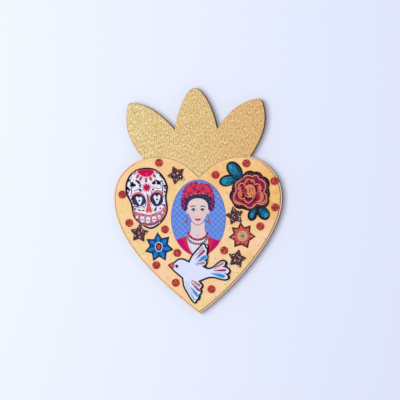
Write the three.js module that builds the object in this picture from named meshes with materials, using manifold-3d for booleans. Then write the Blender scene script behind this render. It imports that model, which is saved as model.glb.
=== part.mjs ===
// Heart wall plaque: a heart with a crown of three leaves, cut in one board, faced with card and decorated
// with printed paper cut-outs, glitter stars and glitter rounds. A sawtooth hanger is nailed on its back.
// Millimetres. X runs to the right and Z up. The wall is the plane Y = 0 and the plaque faces along -Y.
// The origin is the middle notch of the hanger, where the wall's nail carries the plaque.
import * as THREE from 'three';
import Module from 'manifold-3d';
import { mergeVertices } from 'three/addons/utils/BufferGeometryUtils.js';

const wasm = await Module();
wasm.setup();

// Sheets, from the wall outwards
const hanger_sheet = 0.8;
const hanger_rise = 1.0;
const board_thickness = 4.0;
const heart_card_thickness = 0.8;
const crown_card_thickness = 0.6;
const paper_thickness = 0.4;
const glitter_thickness = 0.7;

// Heart: its tops stand this far above the origin, and the rest is measured down from them
const heart_top_rise = 3.1;
const heart_height = 118.3;
const heart_tops_apart = 65.6;
const heart_cleft_depth = 15.0;
const heart_widest_depth = 32.0;
const heart_cleft_lean = 41;
const heart_cleft_pull = 8.2;
const heart_top_in = 19.4;
const heart_top_out = 11.7;
const heart_side_up = 22.9;

// The heart is drawn freehand, so each side has its own reach and its own run down to the tip
const heart_left = { reach: 65.4, side_down: 37.6, tip_pull: 22.1, tip_lean: 39.1 };
const heart_right = { reach: 62.9, side_down: 29.7, tip_pull: 24.5, tip_lean: 33.2 };

// Crown: each leaf has its tip's place, its lean from the X axis, and its own bulge on either side
const leaf_root = 26;
const leaf_tip_round = 3.2;
const crown_leaves = [
  {
    tip_x: -54.1, tip_z: 43.5, lean: 127.6, length: 76.1, blunt: 29.5, blunt_angle: 52.1,
    left_width: 16.2, left_pull: 38.2, right_width: 13.9, right_pull: 12.7,
  },
  {
    tip_x: -3.8, tip_z: 54.9, lean: 90.7, length: 51.9, blunt: 7.7, blunt_angle: 73.5,
    left_width: 17.2, left_pull: 27.0, right_width: 18.9, right_pull: 31.9,
  },
  {
    tip_x: 47.2, tip_z: 45.9, lean: 56.6, length: 56.6, blunt: 24.6, blunt_angle: 54.6,
    left_width: 15.0, left_pull: 16.1, right_width: 16.6, right_pull: 22.0,
  },
];

// Cards on the board, and how close sheets and cuts come
const heart_bare_rim = 1.0;
const crown_bare_rim = 0.3;
const card_joint = 0.3;
const lay_gap = 0.3;

// Cut-outs
const cameo_width = 41.7;
const cameo_height = 57.4;
const skull_width = 32.8;
const skull_height = 46.2;
const dove_length = 47.9;
const dove_height = 45.7;
const blue_flower_reach = 11.3;
const blue_flower_notch = 7.1;
const red_flower_reach = 10.3;
const red_flower_notch = 6.7;
const rose_heart_radius = 12.5;
const rose_lobe_radius = 5.6;
const rose_lobe_reach = 15.4;

// Glitter shapes
const star_reach = 7.5;
const star_notch = 4.15;
const star_tip_round = 1.0;
const round_diameter = 6.0;

// Hanger and its nails
const hanger_length = 45;
const hanger_height = 9;
const hanger_end = 9.5;
const hanger_slope = 2.5;
const hanger_corner = 3.0;
const tooth_pitch = 2.4;
const tooth_depth = 1.4;
const tooth_land = 0.2;
const nail_inset = 4.5;
const nail_head_radius = 1.7;
const nail_head_thickness = 0.6;
const nail_head_edge = 0.35;
const nail_head_flat = 1.35;
const nail_radius = 0.6;
const nail_reach = 3.8;
const nail_point = 1.2;
const nail_clearance = 0.3;

// Where each sheet starts, measured out from the wall
const board_back = hanger_sheet + hanger_rise;
const board_front = board_back + board_thickness;
const heart_card_front = board_front + heart_card_thickness;

// Layout on the heart: across is a share of half its width from the cleft, down a share of its height
function spot(across, down) {
  const half_width = (heart_left.reach + heart_right.reach) / 2;
  return [across * half_width, heart_top_rise - down * heart_height];
}

const cameo_spot = spot(-0.007, 0.393);
const skull_spot = spot(-0.623, 0.269);
const rose_spot = spot(0.607, 0.222);
const dove_spot = spot(0.004, 0.744);
const blue_flower_spot = spot(-0.476, 0.58);
const red_flower_spot = spot(0.51, 0.507);

const glitter_stars = [
  { at: spot(-0.266, 0.122), turn: 113 },
  { at: spot(-0.711, 0.492), turn: 85 },
  { at: spot(0.424, 0.38), turn: 102 },
  { at: spot(0.45, 0.652), turn: 77 },
];

const glitter_rounds = [
  spot(-0.476, 0.043), spot(0.196, 0.121), spot(0.561, 0.048), spot(0.892, 0.16),
  spot(0.899, 0.326), spot(0.725, 0.446), spot(0.299, 0.599), spot(0.148, 0.845),
  spot(-0.277, 0.805), spot(-0.508, 0.694), spot(-0.258, 0.616), spot(-0.405, 0.467),
  spot(-0.831, 0.426), spot(-0.913, 0.245),
];

// Outlines are lists of Vector2 in the plane of the face, X to the right and Y up

// Puts an outline in anticlockwise order, without points that nearly coincide
function anticlockwise(points) {
  const nearest = 0.01;
  const list = points.filter((point, i) => {
    const before = points[(i + points.length - 1) % points.length];
    return point.distanceTo(before) > nearest;
  });
  return THREE.ShapeUtils.isClockWise(list) ? list.reverse() : list;
}

// Closes two half outlines that start and end on the same two points, the second one on the left
function joined(right_half, left_half) {
  const back = left_half.slice(1, -1).reverse();
  return right_half.concat(back.map((point) => new THREE.Vector2(-point.x, point.y)));
}

function placed(points, [x, y], turn = 0) {
  const middle = new THREE.Vector2(0, 0);
  const shift = new THREE.Vector2(x, y);
  const angle = THREE.MathUtils.degToRad(turn);
  return points.map((point) => point.clone().rotateAround(middle, angle).add(shift));
}

function polar(degrees, reach) {
  const angle = THREE.MathUtils.degToRad(degrees);
  return new THREE.Vector2(reach * Math.cos(angle), reach * Math.sin(angle));
}

// Moves every edge of an outline outwards by a distance, or inwards where it is negative
function grown(points, distance) {
  const least_spread = 0.45;
  return points.map((point, i) => {
    const before = points[(i + points.length - 1) % points.length];
    const after = points[(i + 1) % points.length];
    const along_in = point.clone().sub(before).normalize();
    const along_out = after.clone().sub(point).normalize();
    const normal = new THREE.Vector2(along_in.y + along_out.y, -along_in.x - along_out.x).normalize();
    const spread = Math.max(least_spread, normal.x * along_in.y - normal.y * along_in.x);
    return point.clone().addScaledVector(normal, distance / spread);
  });
}

function ovalOutline(width, height, steps = 72) {
  const oval = new THREE.EllipseCurve(0, 0, width / 2, height / 2, 0, Math.PI * 2);
  return anticlockwise(oval.getPoints(steps));
}

// Half of the heart, from its cleft over its top and down its side to its tip
function heartHalf(own) {
  const top = heart_top_rise;
  const cleft = new THREE.Vector2(0, top - heart_cleft_depth);
  const crest = new THREE.Vector2(heart_tops_apart / 2, top);
  const widest = new THREE.Vector2(own.reach, top - heart_widest_depth);
  const tip = new THREE.Vector2(0, top - heart_height);
  const from_cleft = polar(heart_cleft_lean, heart_cleft_pull).add(cleft);
  const to_tip = polar(own.tip_lean, own.tip_pull).add(tip);
  const half = new THREE.Path();
  half.moveTo(cleft.x, cleft.y);
  half.bezierCurveTo(from_cleft.x, from_cleft.y, crest.x - heart_top_in, top, crest.x, top);
  half.bezierCurveTo(
    crest.x + heart_top_out, top, widest.x, widest.y + heart_side_up, widest.x, widest.y);
  half.bezierCurveTo(widest.x, widest.y - own.side_down, to_tip.x, to_tip.y, tip.x, tip.y);
  return half.getPoints(18);
}

function heartOutline() {
  return anticlockwise(joined(heartHalf(heart_right), heartHalf(heart_left)));
}

// Rounds off the corner at the first point of an outline, this far along both of its sides
function softened(points, distance) {
  const corner = points[0];
  const kept = points.filter((point) => point.distanceTo(corner) > distance);
  const [first, last] = [kept[0], kept[kept.length - 1]];
  const arc_start = corner.clone().lerp(last, distance / corner.distanceTo(last));
  const arc_end = corner.clone().lerp(first, distance / corner.distanceTo(first));
  const arc = new THREE.QuadraticBezierCurve(arc_start, corner, arc_end);
  return [...arc.getPoints(5), ...kept];
}

// Half of a leaf that stands on its axis: a curve from its blunt tip to a straight side at its root
function leafHalf(leaf, width, pull) {
  const shoulder = polar(90 - leaf.blunt_angle, leaf.blunt);
  const half = new THREE.Path();
  half.moveTo(0, 0);
  half.bezierCurveTo(shoulder.x, -shoulder.y, width, pull - leaf.length, width, -leaf.length);
  half.lineTo(width, -leaf.length - leaf_root);
  half.lineTo(0, -leaf.length - leaf_root);
  return half.getPoints(22);
}

function leafOutline(leaf) {
  const right_half = leafHalf(leaf, leaf.right_width, leaf.right_pull);
  const left_half = leafHalf(leaf, leaf.left_width, leaf.left_pull);
  const blade = softened(joined(right_half, left_half), leaf_tip_round);
  return anticlockwise(placed(blade, [leaf.tip_x, leaf.tip_z], leaf.lean - 90));
}

function skullOutline() {
  const rim_points = [
    [0.014, 0.5], [0.153, 0.487], [0.269, 0.446], [0.374, 0.375], [0.455, 0.28], [0.5, 0.175],
    [0.478, 0.083], [0.467, 0], [0.483, -0.08], [0.497, -0.161], [0.478, -0.242], [0.427, -0.323],
    [0.344, -0.398], [0.235, -0.463], [0.098, -0.5], [-0.044, -0.468], [-0.181, -0.401],
    [-0.283, -0.33], [-0.325, -0.258],
    [-0.346, -0.177], [-0.374, -0.088], [-0.423, -0.015], [-0.476, 0.052], [-0.499, 0.148], [-0.478, 0.269],
    [-0.427, 0.351], [-0.346, 0.42], [-0.241, 0.468], [-0.125, 0.492],
  ];
  const rim = rim_points.map(([x, y]) => new THREE.Vector3(x * skull_width, y * skull_height, 0));
  const loop = new THREE.CatmullRomCurve3(rim, true).getPoints(rim.length * 3);
  return anticlockwise(loop.map((point) => new THREE.Vector2(point.x, point.y)));
}

// The dove's rim is a chain of smooth stretches that meet at its beak, its feather notches and its wing tips
function doveOutline() {
  const stretches = [
    { smooth: 12, points: [[-0.168, 0.203], [-0.203, 0.222], [-0.246, 0.241], [-0.286, 0.247],
      [-0.326, 0.241], [-0.366, 0.216], [-0.401, 0.184], [-0.453, 0.164], [-0.501, 0.132]] },
    { smooth: 8, points: [[-0.501, 0.132], [-0.405, 0.026], [-0.318, -0.052], [-0.275, -0.089]] },
    { smooth: 18, points: [[-0.275, -0.089], [-0.262, -0.195], [-0.234, -0.268], [-0.143, -0.426],
      [-0.099, -0.483], [-0.067, -0.501], [-0.035, -0.486], [-0.027, -0.451]] },
    { smooth: 6, points: [[-0.027, -0.451], [0.003, -0.444], [0.022, -0.408], [0.021, -0.361]] },
    { smooth: 6, points: [[0.021, -0.361], [0.045, -0.33], [0.051, -0.288], [0.04, -0.255]] },
    { smooth: 6, points: [[0.04, -0.255], [0.065, -0.236], [0.07, -0.2], [0.049, -0.163],
      [0.024, -0.137]] },
    { smooth: 18, points: [[0.024, -0.137], [0.095, -0.106], [0.151, -0.085], [0.231, -0.081], [0.31, -0.102],
      [0.374, -0.119], [0.429, -0.12], [0.469, -0.098], [0.48, -0.057], [0.461, -0.021]] },
    { smooth: 8, points: [[0.461, -0.021], [0.488, 0.002], [0.499, 0.039], [0.485, 0.08], [0.445, 0.107],
      [0.423, 0.119]] },
    { smooth: 16, points: [[0.423, 0.119], [0.436, 0.171], [0.421, 0.208], [0.382, 0.226], [0.334, 0.21],
      [0.278, 0.169], [0.231, 0.125], [0.191, 0.099], [0.135, 0.091], [0.094, 0.111]] },
    { smooth: 6, points: [[0.094, 0.111], [0.126, 0.138], [0.134, 0.181], [0.119, 0.213]] },
    { smooth: 6, points: [[0.119, 0.213], [0.14, 0.233], [0.148, 0.281], [0.135, 0.324]] },
    { smooth: 6, points: [[0.135, 0.324], [0.145, 0.363], [0.14, 0.405], [0.113, 0.441]] },
    { smooth: 18, points: [[0.113, 0.441], [0.099, 0.486], [0.072, 0.499], [0.04, 0.485], [-0.008, 0.434],
      [-0.103, 0.322], [-0.143, 0.26], [-0.168, 0.203]] },
  ];
  const outline = stretches.flatMap(({ smooth, points }) => {
    const stops = points.map(([x, y]) => new THREE.Vector2(x * dove_length, y * dove_height));
    return new THREE.SplineCurve(stops).getPoints(smooth).slice(0, -1);
  });
  return anticlockwise(outline);
}

// A straight-sided star flower: a petal tip at each angle and a notch midway to the next
function starFlowerOutline(tip_angles, reach, notch) {
  const outline = tip_angles.flatMap((angle, i) => {
    const next = tip_angles[i + 1] ?? tip_angles[0] + 360;
    return [polar(angle, reach), polar((angle + next) / 2, notch)];
  });
  return anticlockwise(outline);
}

const blue_flower_tips = [-163, -113, -63, -9, 46, 96, 147];
const red_flower_tips = [-174, -125, -64, -2, 51, 97, 140];

// A rose seen from the front: a ring of scallops round its middle, each at its own share of their reach,
// and four leaves from under them
const rose_lobes = [
  { angle: 92, share: 0.99 }, { angle: 63, share: 1.01 }, { angle: 30, share: 1.05 },
  { angle: 0, share: 0.95 }, { angle: -16, share: 1 }, { angle: -40, share: 1.12 },
  { angle: -71, share: 1.01 }, { angle: -98, share: 0.97 }, { angle: -112, share: 0.96 },
  { angle: -134, share: 1.09 }, { angle: -160, share: 1.07 }, { angle: 170, share: 0.92 },
  { angle: 132, share: 0.9 },
];
const rose_leaves = [
  { root_x: -5.9, root_z: 9.2, lean: 133, length: 16.1, width: 10.2 },
  { root_x: -8.6, root_z: 9.9, lean: 194, length: 15.4, width: 8.6 },
  { root_x: 3.6, root_z: -11.9, lean: 252, length: 11.0, width: 7.2 },
  { root_x: 4.9, root_z: -10.9, lean: 311, length: 13.3, width: 8.8 },
];

// Where a rose leaf's curve bends, as shares of half its width and of its length
const rose_leaf_bends = { root: [0.56, 0.1], lower: 0.3, widest: 0.58, upper: 0.84, tip: 0.52 };

function roseLeafOutline({ root_x, root_z, lean, length, width }) {
  const bends = rose_leaf_bends;
  const side = width / 2;
  const [root_side, root_rise] = bends.root;
  const half = new THREE.Path();
  half.moveTo(0, 0);
  half.bezierCurveTo(
    side * root_side, length * root_rise, side, length * bends.lower, side, length * bends.widest);
  half.bezierCurveTo(side, length * bends.upper, side * bends.tip, length, 0, length);
  const leaf = half.getPoints(7);
  return anticlockwise(placed(joined(leaf, leaf), [root_x, root_z], lean - 90));
}

function roseOutlines() {
  const lobes = rose_lobes.map(({ angle, share }) => {
    const middle = polar(angle, share * rose_lobe_reach - rose_lobe_radius);
    return placed(ovalOutline(2 * rose_lobe_radius, 2 * rose_lobe_radius, 26), [middle.x, middle.y]);
  });
  const heart = ovalOutline(2 * rose_heart_radius, 2 * rose_heart_radius, 36);
  return [heart, ...lobes, ...rose_leaves.map(roseLeafOutline)];
}

// A five-pointed star with its tips rounded off, as a shaped punch leaves them
function punchedStarOutline() {
  const star = new THREE.Path();
  for (let i = 0; i < 5; i += 1) {
    const tip = polar(72 * i, star_reach);
    const notch_before = polar(72 * i - 36, star_notch);
    const notch_after = polar(72 * i + 36, star_notch);
    const share = star_tip_round / tip.distanceTo(notch_after);
    const arc_start = tip.clone().lerp(notch_before, share);
    const arc_end = tip.clone().lerp(notch_after, share);
    if (i === 0) star.moveTo(arc_start.x, arc_start.y);
    else star.lineTo(arc_start.x, arc_start.y);
    star.quadraticCurveTo(tip.x, tip.y, arc_end.x, arc_end.y);
    star.lineTo(notch_after.x, notch_after.y);
  }
  return anticlockwise(star.getPoints(4));
}

function roundedRectangle(width, height, corner) {
  const x = width / 2 - corner;
  const y = height / 2 - corner;
  const rectangle = new THREE.Path();
  rectangle.absarc(x, y, corner, 0, Math.PI / 2);
  rectangle.absarc(-x, y, corner, Math.PI / 2, Math.PI);
  rectangle.absarc(-x, -y, corner, Math.PI, Math.PI * 1.5);
  rectangle.absarc(x, -y, corner, Math.PI * 1.5, Math.PI * 2);
  return anticlockwise(rectangle.getPoints(8));
}

// Solids

function toSolid(geometry) {
  const bare = geometry.clone();
  bare.deleteAttribute('normal');
  bare.deleteAttribute('uv');
  const merged = mergeVertices(bare, 1e-4);
  return new wasm.Manifold(new wasm.Mesh({
    numProp: 3,
    vertProperties: new Float32Array(merged.attributes.position.array),
    triVerts: new Uint32Array(merged.index.array),
  }));
}

function toGeometry(solid) {
  const mesh = solid.getMesh();
  const geometry = new THREE.BufferGeometry();
  geometry.setAttribute('position', new THREE.BufferAttribute(new Float32Array(mesh.vertProperties), 3));
  geometry.setIndex(new THREE.BufferAttribute(new Uint32Array(mesh.triVerts), 1));
  geometry.computeVertexNormals();
  return geometry;
}

// Turns a sheet drawn flat so that its thickness runs from the wall towards the viewer, along -Y
const stand_up = new THREE.Matrix4().set(
  1, 0, 0, 0,
  0, 0, -1, 0,
  0, 1, 0, 0,
  0, 0, 0, 1,
);

// One sheet cut to the union of some outlines
function plate(outlines, thickness) {
  const sheets = outlines.map((points) => {
    const shape = new THREE.Shape(points);
    const sheet = new THREE.ExtrudeGeometry(shape, { depth: thickness, bevelEnabled: false });
    return toSolid(sheet.applyMatrix4(stand_up));
  });
  return sheets.reduce((whole, sheet) => whole.add(sheet));
}

// A cut-out laid beside others: it keeps the lay gap to each outline that is already on the card
function laidBeside(outlines, thickness, others) {
  let sheet = plate(outlines, thickness);
  for (const other of others) {
    sheet = sheet.subtract(plate([grown(other, lay_gap)], thickness));
  }
  return sheet;
}

const heart = heartOutline();
const leaves = crown_leaves.map(leafOutline);
const heart_card_outline = grown(heart, -heart_bare_rim);

const cameo_outline = placed(ovalOutline(cameo_width, cameo_height), cameo_spot);
const skull_outline = placed(skullOutline(), skull_spot);
const rose_outlines = roseOutlines().map((outline) => placed(outline, rose_spot));
const dove_outline = placed(doveOutline(), dove_spot);
const blue_flower_outline = placed(
  starFlowerOutline(blue_flower_tips, blue_flower_reach, blue_flower_notch), blue_flower_spot);
const red_flower_outline = placed(
  starFlowerOutline(red_flower_tips, red_flower_reach, red_flower_notch), red_flower_spot);

const nail_x = hanger_length / 2 - nail_inset;
const hanger_middle = hanger_height / 2 - tooth_depth;

function backBoard() {
  const hole_radius = nail_radius + nail_clearance;
  const hole_depth = nail_reach - hanger_sheet + nail_clearance;
  let board = plate([heart, ...leaves], board_thickness);
  for (const x of [-nail_x, nail_x]) {
    const hole = placed(ovalOutline(2 * hole_radius, 2 * hole_radius, 16), [x, hanger_middle]);
    board = board.subtract(plate([hole], hole_depth));
  }
  return board;
}

function heartCard() {
  return plate([heart_card_outline], heart_card_thickness);
}

function crownCard() {
  const trimmed = leaves.map((leaf) => grown(leaf, -crown_bare_rim));
  const heart_room = plate([grown(heart_card_outline, card_joint)], crown_card_thickness);
  return plate(trimmed, crown_card_thickness).subtract(heart_room);
}

// The dove lies half on the cameo: its paper is doubled beside the cameo, so that its face stays flat
function dove() {
  const cameo_room = plate([grown(cameo_outline, lay_gap)], paper_thickness);
  return plate([dove_outline], 2 * paper_thickness).subtract(cameo_room);
}

function skull() {
  return laidBeside([skull_outline], paper_thickness, [cameo_outline, dove_outline]);
}

function rose() {
  return laidBeside(rose_outlines, paper_thickness, [cameo_outline, dove_outline]);
}

function blueFlower() {
  return laidBeside([blue_flower_outline], paper_thickness, [cameo_outline, dove_outline, skull_outline]);
}

function redFlower() {
  return laidBeside([red_flower_outline], paper_thickness, [cameo_outline, dove_outline, ...rose_outlines]);
}

const printed_outlines = [cameo_outline, skull_outline, ...rose_outlines, dove_outline, blue_flower_outline,
  red_flower_outline];
const star_outlines = glitter_stars.map(({ at, turn }) => placed(punchedStarOutline(), at, turn));

function glitterStar(i) {
  return laidBeside([star_outlines[i]], glitter_thickness, printed_outlines);
}

function glitterRound(i) {
  const outline = placed(ovalOutline(round_diameter, round_diameter, 24), glitter_rounds[i]);
  return laidBeside([outline], glitter_thickness, [...printed_outlines, ...star_outlines]);
}

// A sheet strip, flat on the board at both ends and bowed out to the wall between them
function hangerStrip() {
  const end = hanger_length / 2;
  const foot = end - hanger_end;
  const crest = foot - hanger_slope;
  const wall_side = [
    new THREE.Vector2(-end, -hanger_rise),
    new THREE.Vector2(-foot, -hanger_rise),
    new THREE.Vector2(-crest, 0),
    new THREE.Vector2(crest, 0),
    new THREE.Vector2(foot, -hanger_rise),
    new THREE.Vector2(end, -hanger_rise),
  ];
  const board_side = placed(wall_side, [0, -hanger_sheet]).reverse();
  const section = new THREE.Shape(anticlockwise([...wall_side, ...board_side]));
  const strip = new THREE.ExtrudeGeometry(section, { depth: hanger_height, bevelEnabled: false });
  return toSolid(strip.translate(0, 0, -tooth_depth));
}

// The strip's ends are rounded and drilled, and the lower edge of its bowed middle is cut into teeth
function sawtoothHanger() {
  const depth = board_back;
  const ends = placed(roundedRectangle(hanger_length, hanger_height, hanger_corner), [0, hanger_middle]);
  let hanger = hangerStrip().intersect(plate([ends], depth));
  const toothed_half = hanger_length / 2 - hanger_end - hanger_slope - tooth_pitch / 2;
  const notches_each_side = Math.floor(toothed_half / tooth_pitch);
  for (let i = -notches_each_side; i <= notches_each_side; i += 1) {
    const x = i * tooth_pitch;
    const half = (tooth_pitch - tooth_land) / 2;
    const below = -tooth_depth - nail_clearance;
    const notch = [
      new THREE.Vector2(x - half, below),
      new THREE.Vector2(x + half, below),
      new THREE.Vector2(x + half, -tooth_depth),
      new THREE.Vector2(x, 0),
      new THREE.Vector2(x - half, -tooth_depth),
    ];
    hanger = hanger.subtract(plate([notch], depth));
  }
  const hole_radius = nail_radius + nail_clearance;
  for (const x of [-nail_x, nail_x]) {
    const hole = placed(ovalOutline(2 * hole_radius, 2 * hole_radius, 16), [x, hanger_middle]);
    hanger = hanger.subtract(plate([hole], depth));
  }
  return hanger;
}

// A flat-headed nail, turned about Y: its head lies on the strip and its point is in the board
function nailGeometry() {
  const profile = [
    new THREE.Vector2(0, -nail_reach),
    new THREE.Vector2(nail_radius, nail_point - nail_reach),
    new THREE.Vector2(nail_radius, 0),
    new THREE.Vector2(nail_head_radius, 0),
    new THREE.Vector2(nail_head_radius, nail_head_edge),
    new THREE.Vector2(nail_head_flat, nail_head_thickness),
    new THREE.Vector2(0, nail_head_thickness),
  ];
  return new THREE.LatheGeometry(profile, 20);
}

// Materials

function finish(color, roughness, metalness = 0) {
  return new THREE.MeshStandardMaterial({ color, roughness, metalness });
}

const plaque = new THREE.Group();

function addPiece(name, geometry, material, out_from_wall) {
  const piece = new THREE.Mesh(geometry, material);
  piece.name = name;
  piece.position.y = -out_from_wall;
  plaque.add(piece);
  return piece;
}

const cameo = plate([cameo_outline], paper_thickness);

addPiece('back_board', toGeometry(backBoard()), finish(0x8a6444, 0.8), board_back);
addPiece('heart_card', toGeometry(heartCard()), finish(0xf6cf95, 0.65), board_front);
addPiece('crown_card', toGeometry(crownCard()), finish(0xd8b468, 0.45, 0.6), board_front);

addPiece('cameo_card', toGeometry(cameo), finish(0x5f86e0, 0.5), heart_card_front);
addPiece('skull_cutout', toGeometry(skull()), finish(0xf4f1fb, 0.5), heart_card_front);
addPiece('rose_cutout', toGeometry(rose()), finish(0xb23a56, 0.5), heart_card_front);
addPiece('dove_cutout', toGeometry(dove()), finish(0xdfe3fa, 0.5), heart_card_front);
addPiece('blue_star_flower', toGeometry(blueFlower()), finish(0x1769c6, 0.5), heart_card_front);
addPiece('red_star_flower', toGeometry(redFlower()), finish(0xcf484c, 0.5), heart_card_front);

glitter_stars.forEach((star, i) => {
  const brown_glitter = finish(0x4d262b, 0.6, 0.3);
  addPiece(`glitter_star_${i + 1}`, toGeometry(glitterStar(i)), brown_glitter, heart_card_front);
});

glitter_rounds.forEach((round, i) => {
  const number = String(i + 1).padStart(2, '0');
  const red_glitter = finish(0xb02a2c, 0.55, 0.3);
  addPiece(`glitter_round_${number}`, toGeometry(glitterRound(i)), red_glitter, heart_card_front);
});

addPiece('sawtooth_hanger', toGeometry(sawtoothHanger()), finish(0xb9bdc2, 0.35, 0.9), 0);

for (const [side, x] of [['left', -nail_x], ['right', nail_x]]) {
  const nail = addPiece(`hanger_nail_${side}`, nailGeometry(), finish(0xc9b27a, 0.35, 0.9), hanger_rise);
  nail.position.x = x;
  nail.position.z = hanger_middle;
}

export default plaque;
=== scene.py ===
# Heart wall plaque with a crown of three leaves: cards, paper cut-outs and glitter shapes on a hung board.
# Metres, in the CAD's frame: X to the right, Z up, the wall at Y = 0 and the plaque facing along -Y.
# Prints are drawn in millimetres in that frame, seen from the front, as (across, up).
import bmesh
import bpy
import random
from functools import partial
from math import cos, pi, radians, sin
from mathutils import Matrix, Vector


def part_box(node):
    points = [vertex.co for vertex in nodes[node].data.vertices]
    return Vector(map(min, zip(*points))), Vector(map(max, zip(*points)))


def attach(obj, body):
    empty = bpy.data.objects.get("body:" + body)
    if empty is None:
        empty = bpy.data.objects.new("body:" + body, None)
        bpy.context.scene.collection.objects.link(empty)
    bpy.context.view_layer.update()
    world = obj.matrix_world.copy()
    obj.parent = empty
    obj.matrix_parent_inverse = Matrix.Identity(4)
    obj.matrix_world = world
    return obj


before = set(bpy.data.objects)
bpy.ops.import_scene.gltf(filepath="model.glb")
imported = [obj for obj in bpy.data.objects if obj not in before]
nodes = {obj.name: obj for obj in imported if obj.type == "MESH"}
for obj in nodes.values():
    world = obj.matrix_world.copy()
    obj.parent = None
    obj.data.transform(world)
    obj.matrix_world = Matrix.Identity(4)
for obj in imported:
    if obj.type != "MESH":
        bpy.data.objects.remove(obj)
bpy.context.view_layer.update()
finishes = {}

MM = 0.001
ink_step = 0.022 * MM
weld = 0.0005 * MM
flat_enough = radians(0.5)
crease = radians(50)
from_front = radians(90)
oval_sides = 18
patch_steps = 4
pen_steps = 5
pen_tip = 0.7
pen_shank = 2
diamond_tile = 4.2
diamond_line = 1.05
chip_sides = 6
chip_lean = 0.3
chip_proud = 0.09 * MM
chip_depth = 0.12 * MM
well_in_front = 5 * MM
middle_height = -30 * MM
wall_gap = 0.1 * MM
wall_size = 0.9


# Modelling by hand

def nothing_selected():
    if bpy.context.object and bpy.context.object.mode != "OBJECT":
        bpy.ops.object.mode_set(mode="OBJECT")
    bpy.ops.object.select_all(action="DESELECT")


def take(things):
    nothing_selected()
    for thing in things:
        thing.select_set(True)
    bpy.context.view_layer.objects.active = things[0]


def editing(thing):
    take([thing])
    bpy.ops.object.mode_set(mode="EDIT")
    bpy.ops.mesh.select_mode(type="FACE")
    bpy.ops.mesh.select_all(action="SELECT")


def done_editing():
    bpy.ops.object.mode_set(mode="OBJECT")


def one_piece(things):
    """Several meshes joined in one object that sits unturned at the origin"""
    take(things)
    if len(things) > 1:
        bpy.ops.object.join()
    bpy.ops.object.transform_apply(location=True, rotation=True, scale=True)
    return bpy.context.object


def outward_faces(thing):
    editing(thing)
    bpy.ops.mesh.remove_doubles(threshold=weld)
    bpy.ops.mesh.select_all(action="SELECT")
    bpy.ops.mesh.normals_make_consistent(inside=False)
    done_editing()


def finished(thing, name, finish):
    thing.name = name
    thing.data.name = name
    thing.data.materials.clear()
    thing.data.materials.append(finishes[finish])
    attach(thing, "root")
    return thing


def raised(thing, rise):
    """A flat drawing given its thickness, towards the viewer"""
    editing(thing)
    bpy.ops.mesh.extrude_region_move(TRANSFORM_OT_translate={"value": (0, -rise, 0)})
    done_editing()


# Print shapes, each laid on the sheet whose face is at this depth

def oval(face, x, z, wide, tall=None, turn=0):
    """An oval of these half sizes, or a disc where one is given"""
    bpy.ops.mesh.primitive_circle_add(vertices=oval_sides, radius=MM, fill_type="NGON",
                                      location=(x * MM, face, z * MM),
                                      rotation=(from_front, radians(-turn), 0))
    shape = bpy.context.object
    shape.scale = (wide, tall or wide, 1)
    return shape


def outline(face, points, corners=()):
    """A closed flat curve through some points: smooth, but straight beside each corner"""
    bpy.ops.curve.primitive_bezier_circle_add(radius=MM, location=(0, face, 0), rotation=(from_front, 0, 0))
    shape = bpy.context.object
    shape.data.dimensions = "2D"
    shape.data.fill_mode = "BOTH"
    shape.data.resolution_u = patch_steps
    spline = shape.data.splines[0]
    spline.bezier_points.add(len(points) - len(spline.bezier_points))
    for i, (point, (x, z)) in enumerate(zip(spline.bezier_points, points)):
        point.co = (x * MM, z * MM, 0)
        point.handle_left_type = point.handle_right_type = "VECTOR" if i in corners else "AUTO"
    return shape


def petal(face, root_x, root_z, tip_x, tip_z, width):
    """A petal from its pointed root to its round tip"""
    along = Vector((tip_x - root_x, tip_z - root_z))
    side = Vector((-along.y, along.x)).normalized() * width / 2
    stations = [(0, 0), (0.34, -0.62), (0.72, -1), (0.94, -0.62), (0.94, 0.62), (0.72, 1), (0.34, 0.62)]
    points = [Vector((root_x, root_z)) + along * share + side * out for share, out in stations]
    return outline(face, points, corners={0})


def stroke(face, rise, width, points):
    """A pen line: a bar with rounded shoulders along some points, pressed nearly flat"""
    bpy.ops.curve.primitive_bezier_curve_add(radius=MM, location=(0, face, 0), rotation=(from_front, 0, 0))
    line = bpy.context.object
    line.data.dimensions = "3D"
    line.data.twist_mode = "Z_UP"
    line.data.extrude = pen_shank * width * MM
    line.data.bevel_depth = width / 2 * MM
    line.data.bevel_resolution = 1
    line.data.use_fill_caps = True
    line.data.resolution_u = pen_steps
    spline = line.data.splines[0]
    spline.bezier_points.add(len(points) - 2)
    for point, (x, z) in zip(spline.bezier_points, points):
        point.co = (x * MM, z * MM, 0)
        point.handle_left_type = point.handle_right_type = "AUTO"
        point.radius = 1
    spline.bezier_points[0].radius = spline.bezier_points[-1].radius = pen_tip
    line.scale = (1, 1, rise / ((pen_shank + 0.5) * width * MM))
    return line


def spokes(middle, *tips):
    """Straight pen lines from one point to several"""
    return [[middle, tip] for tip in tips]


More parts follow.
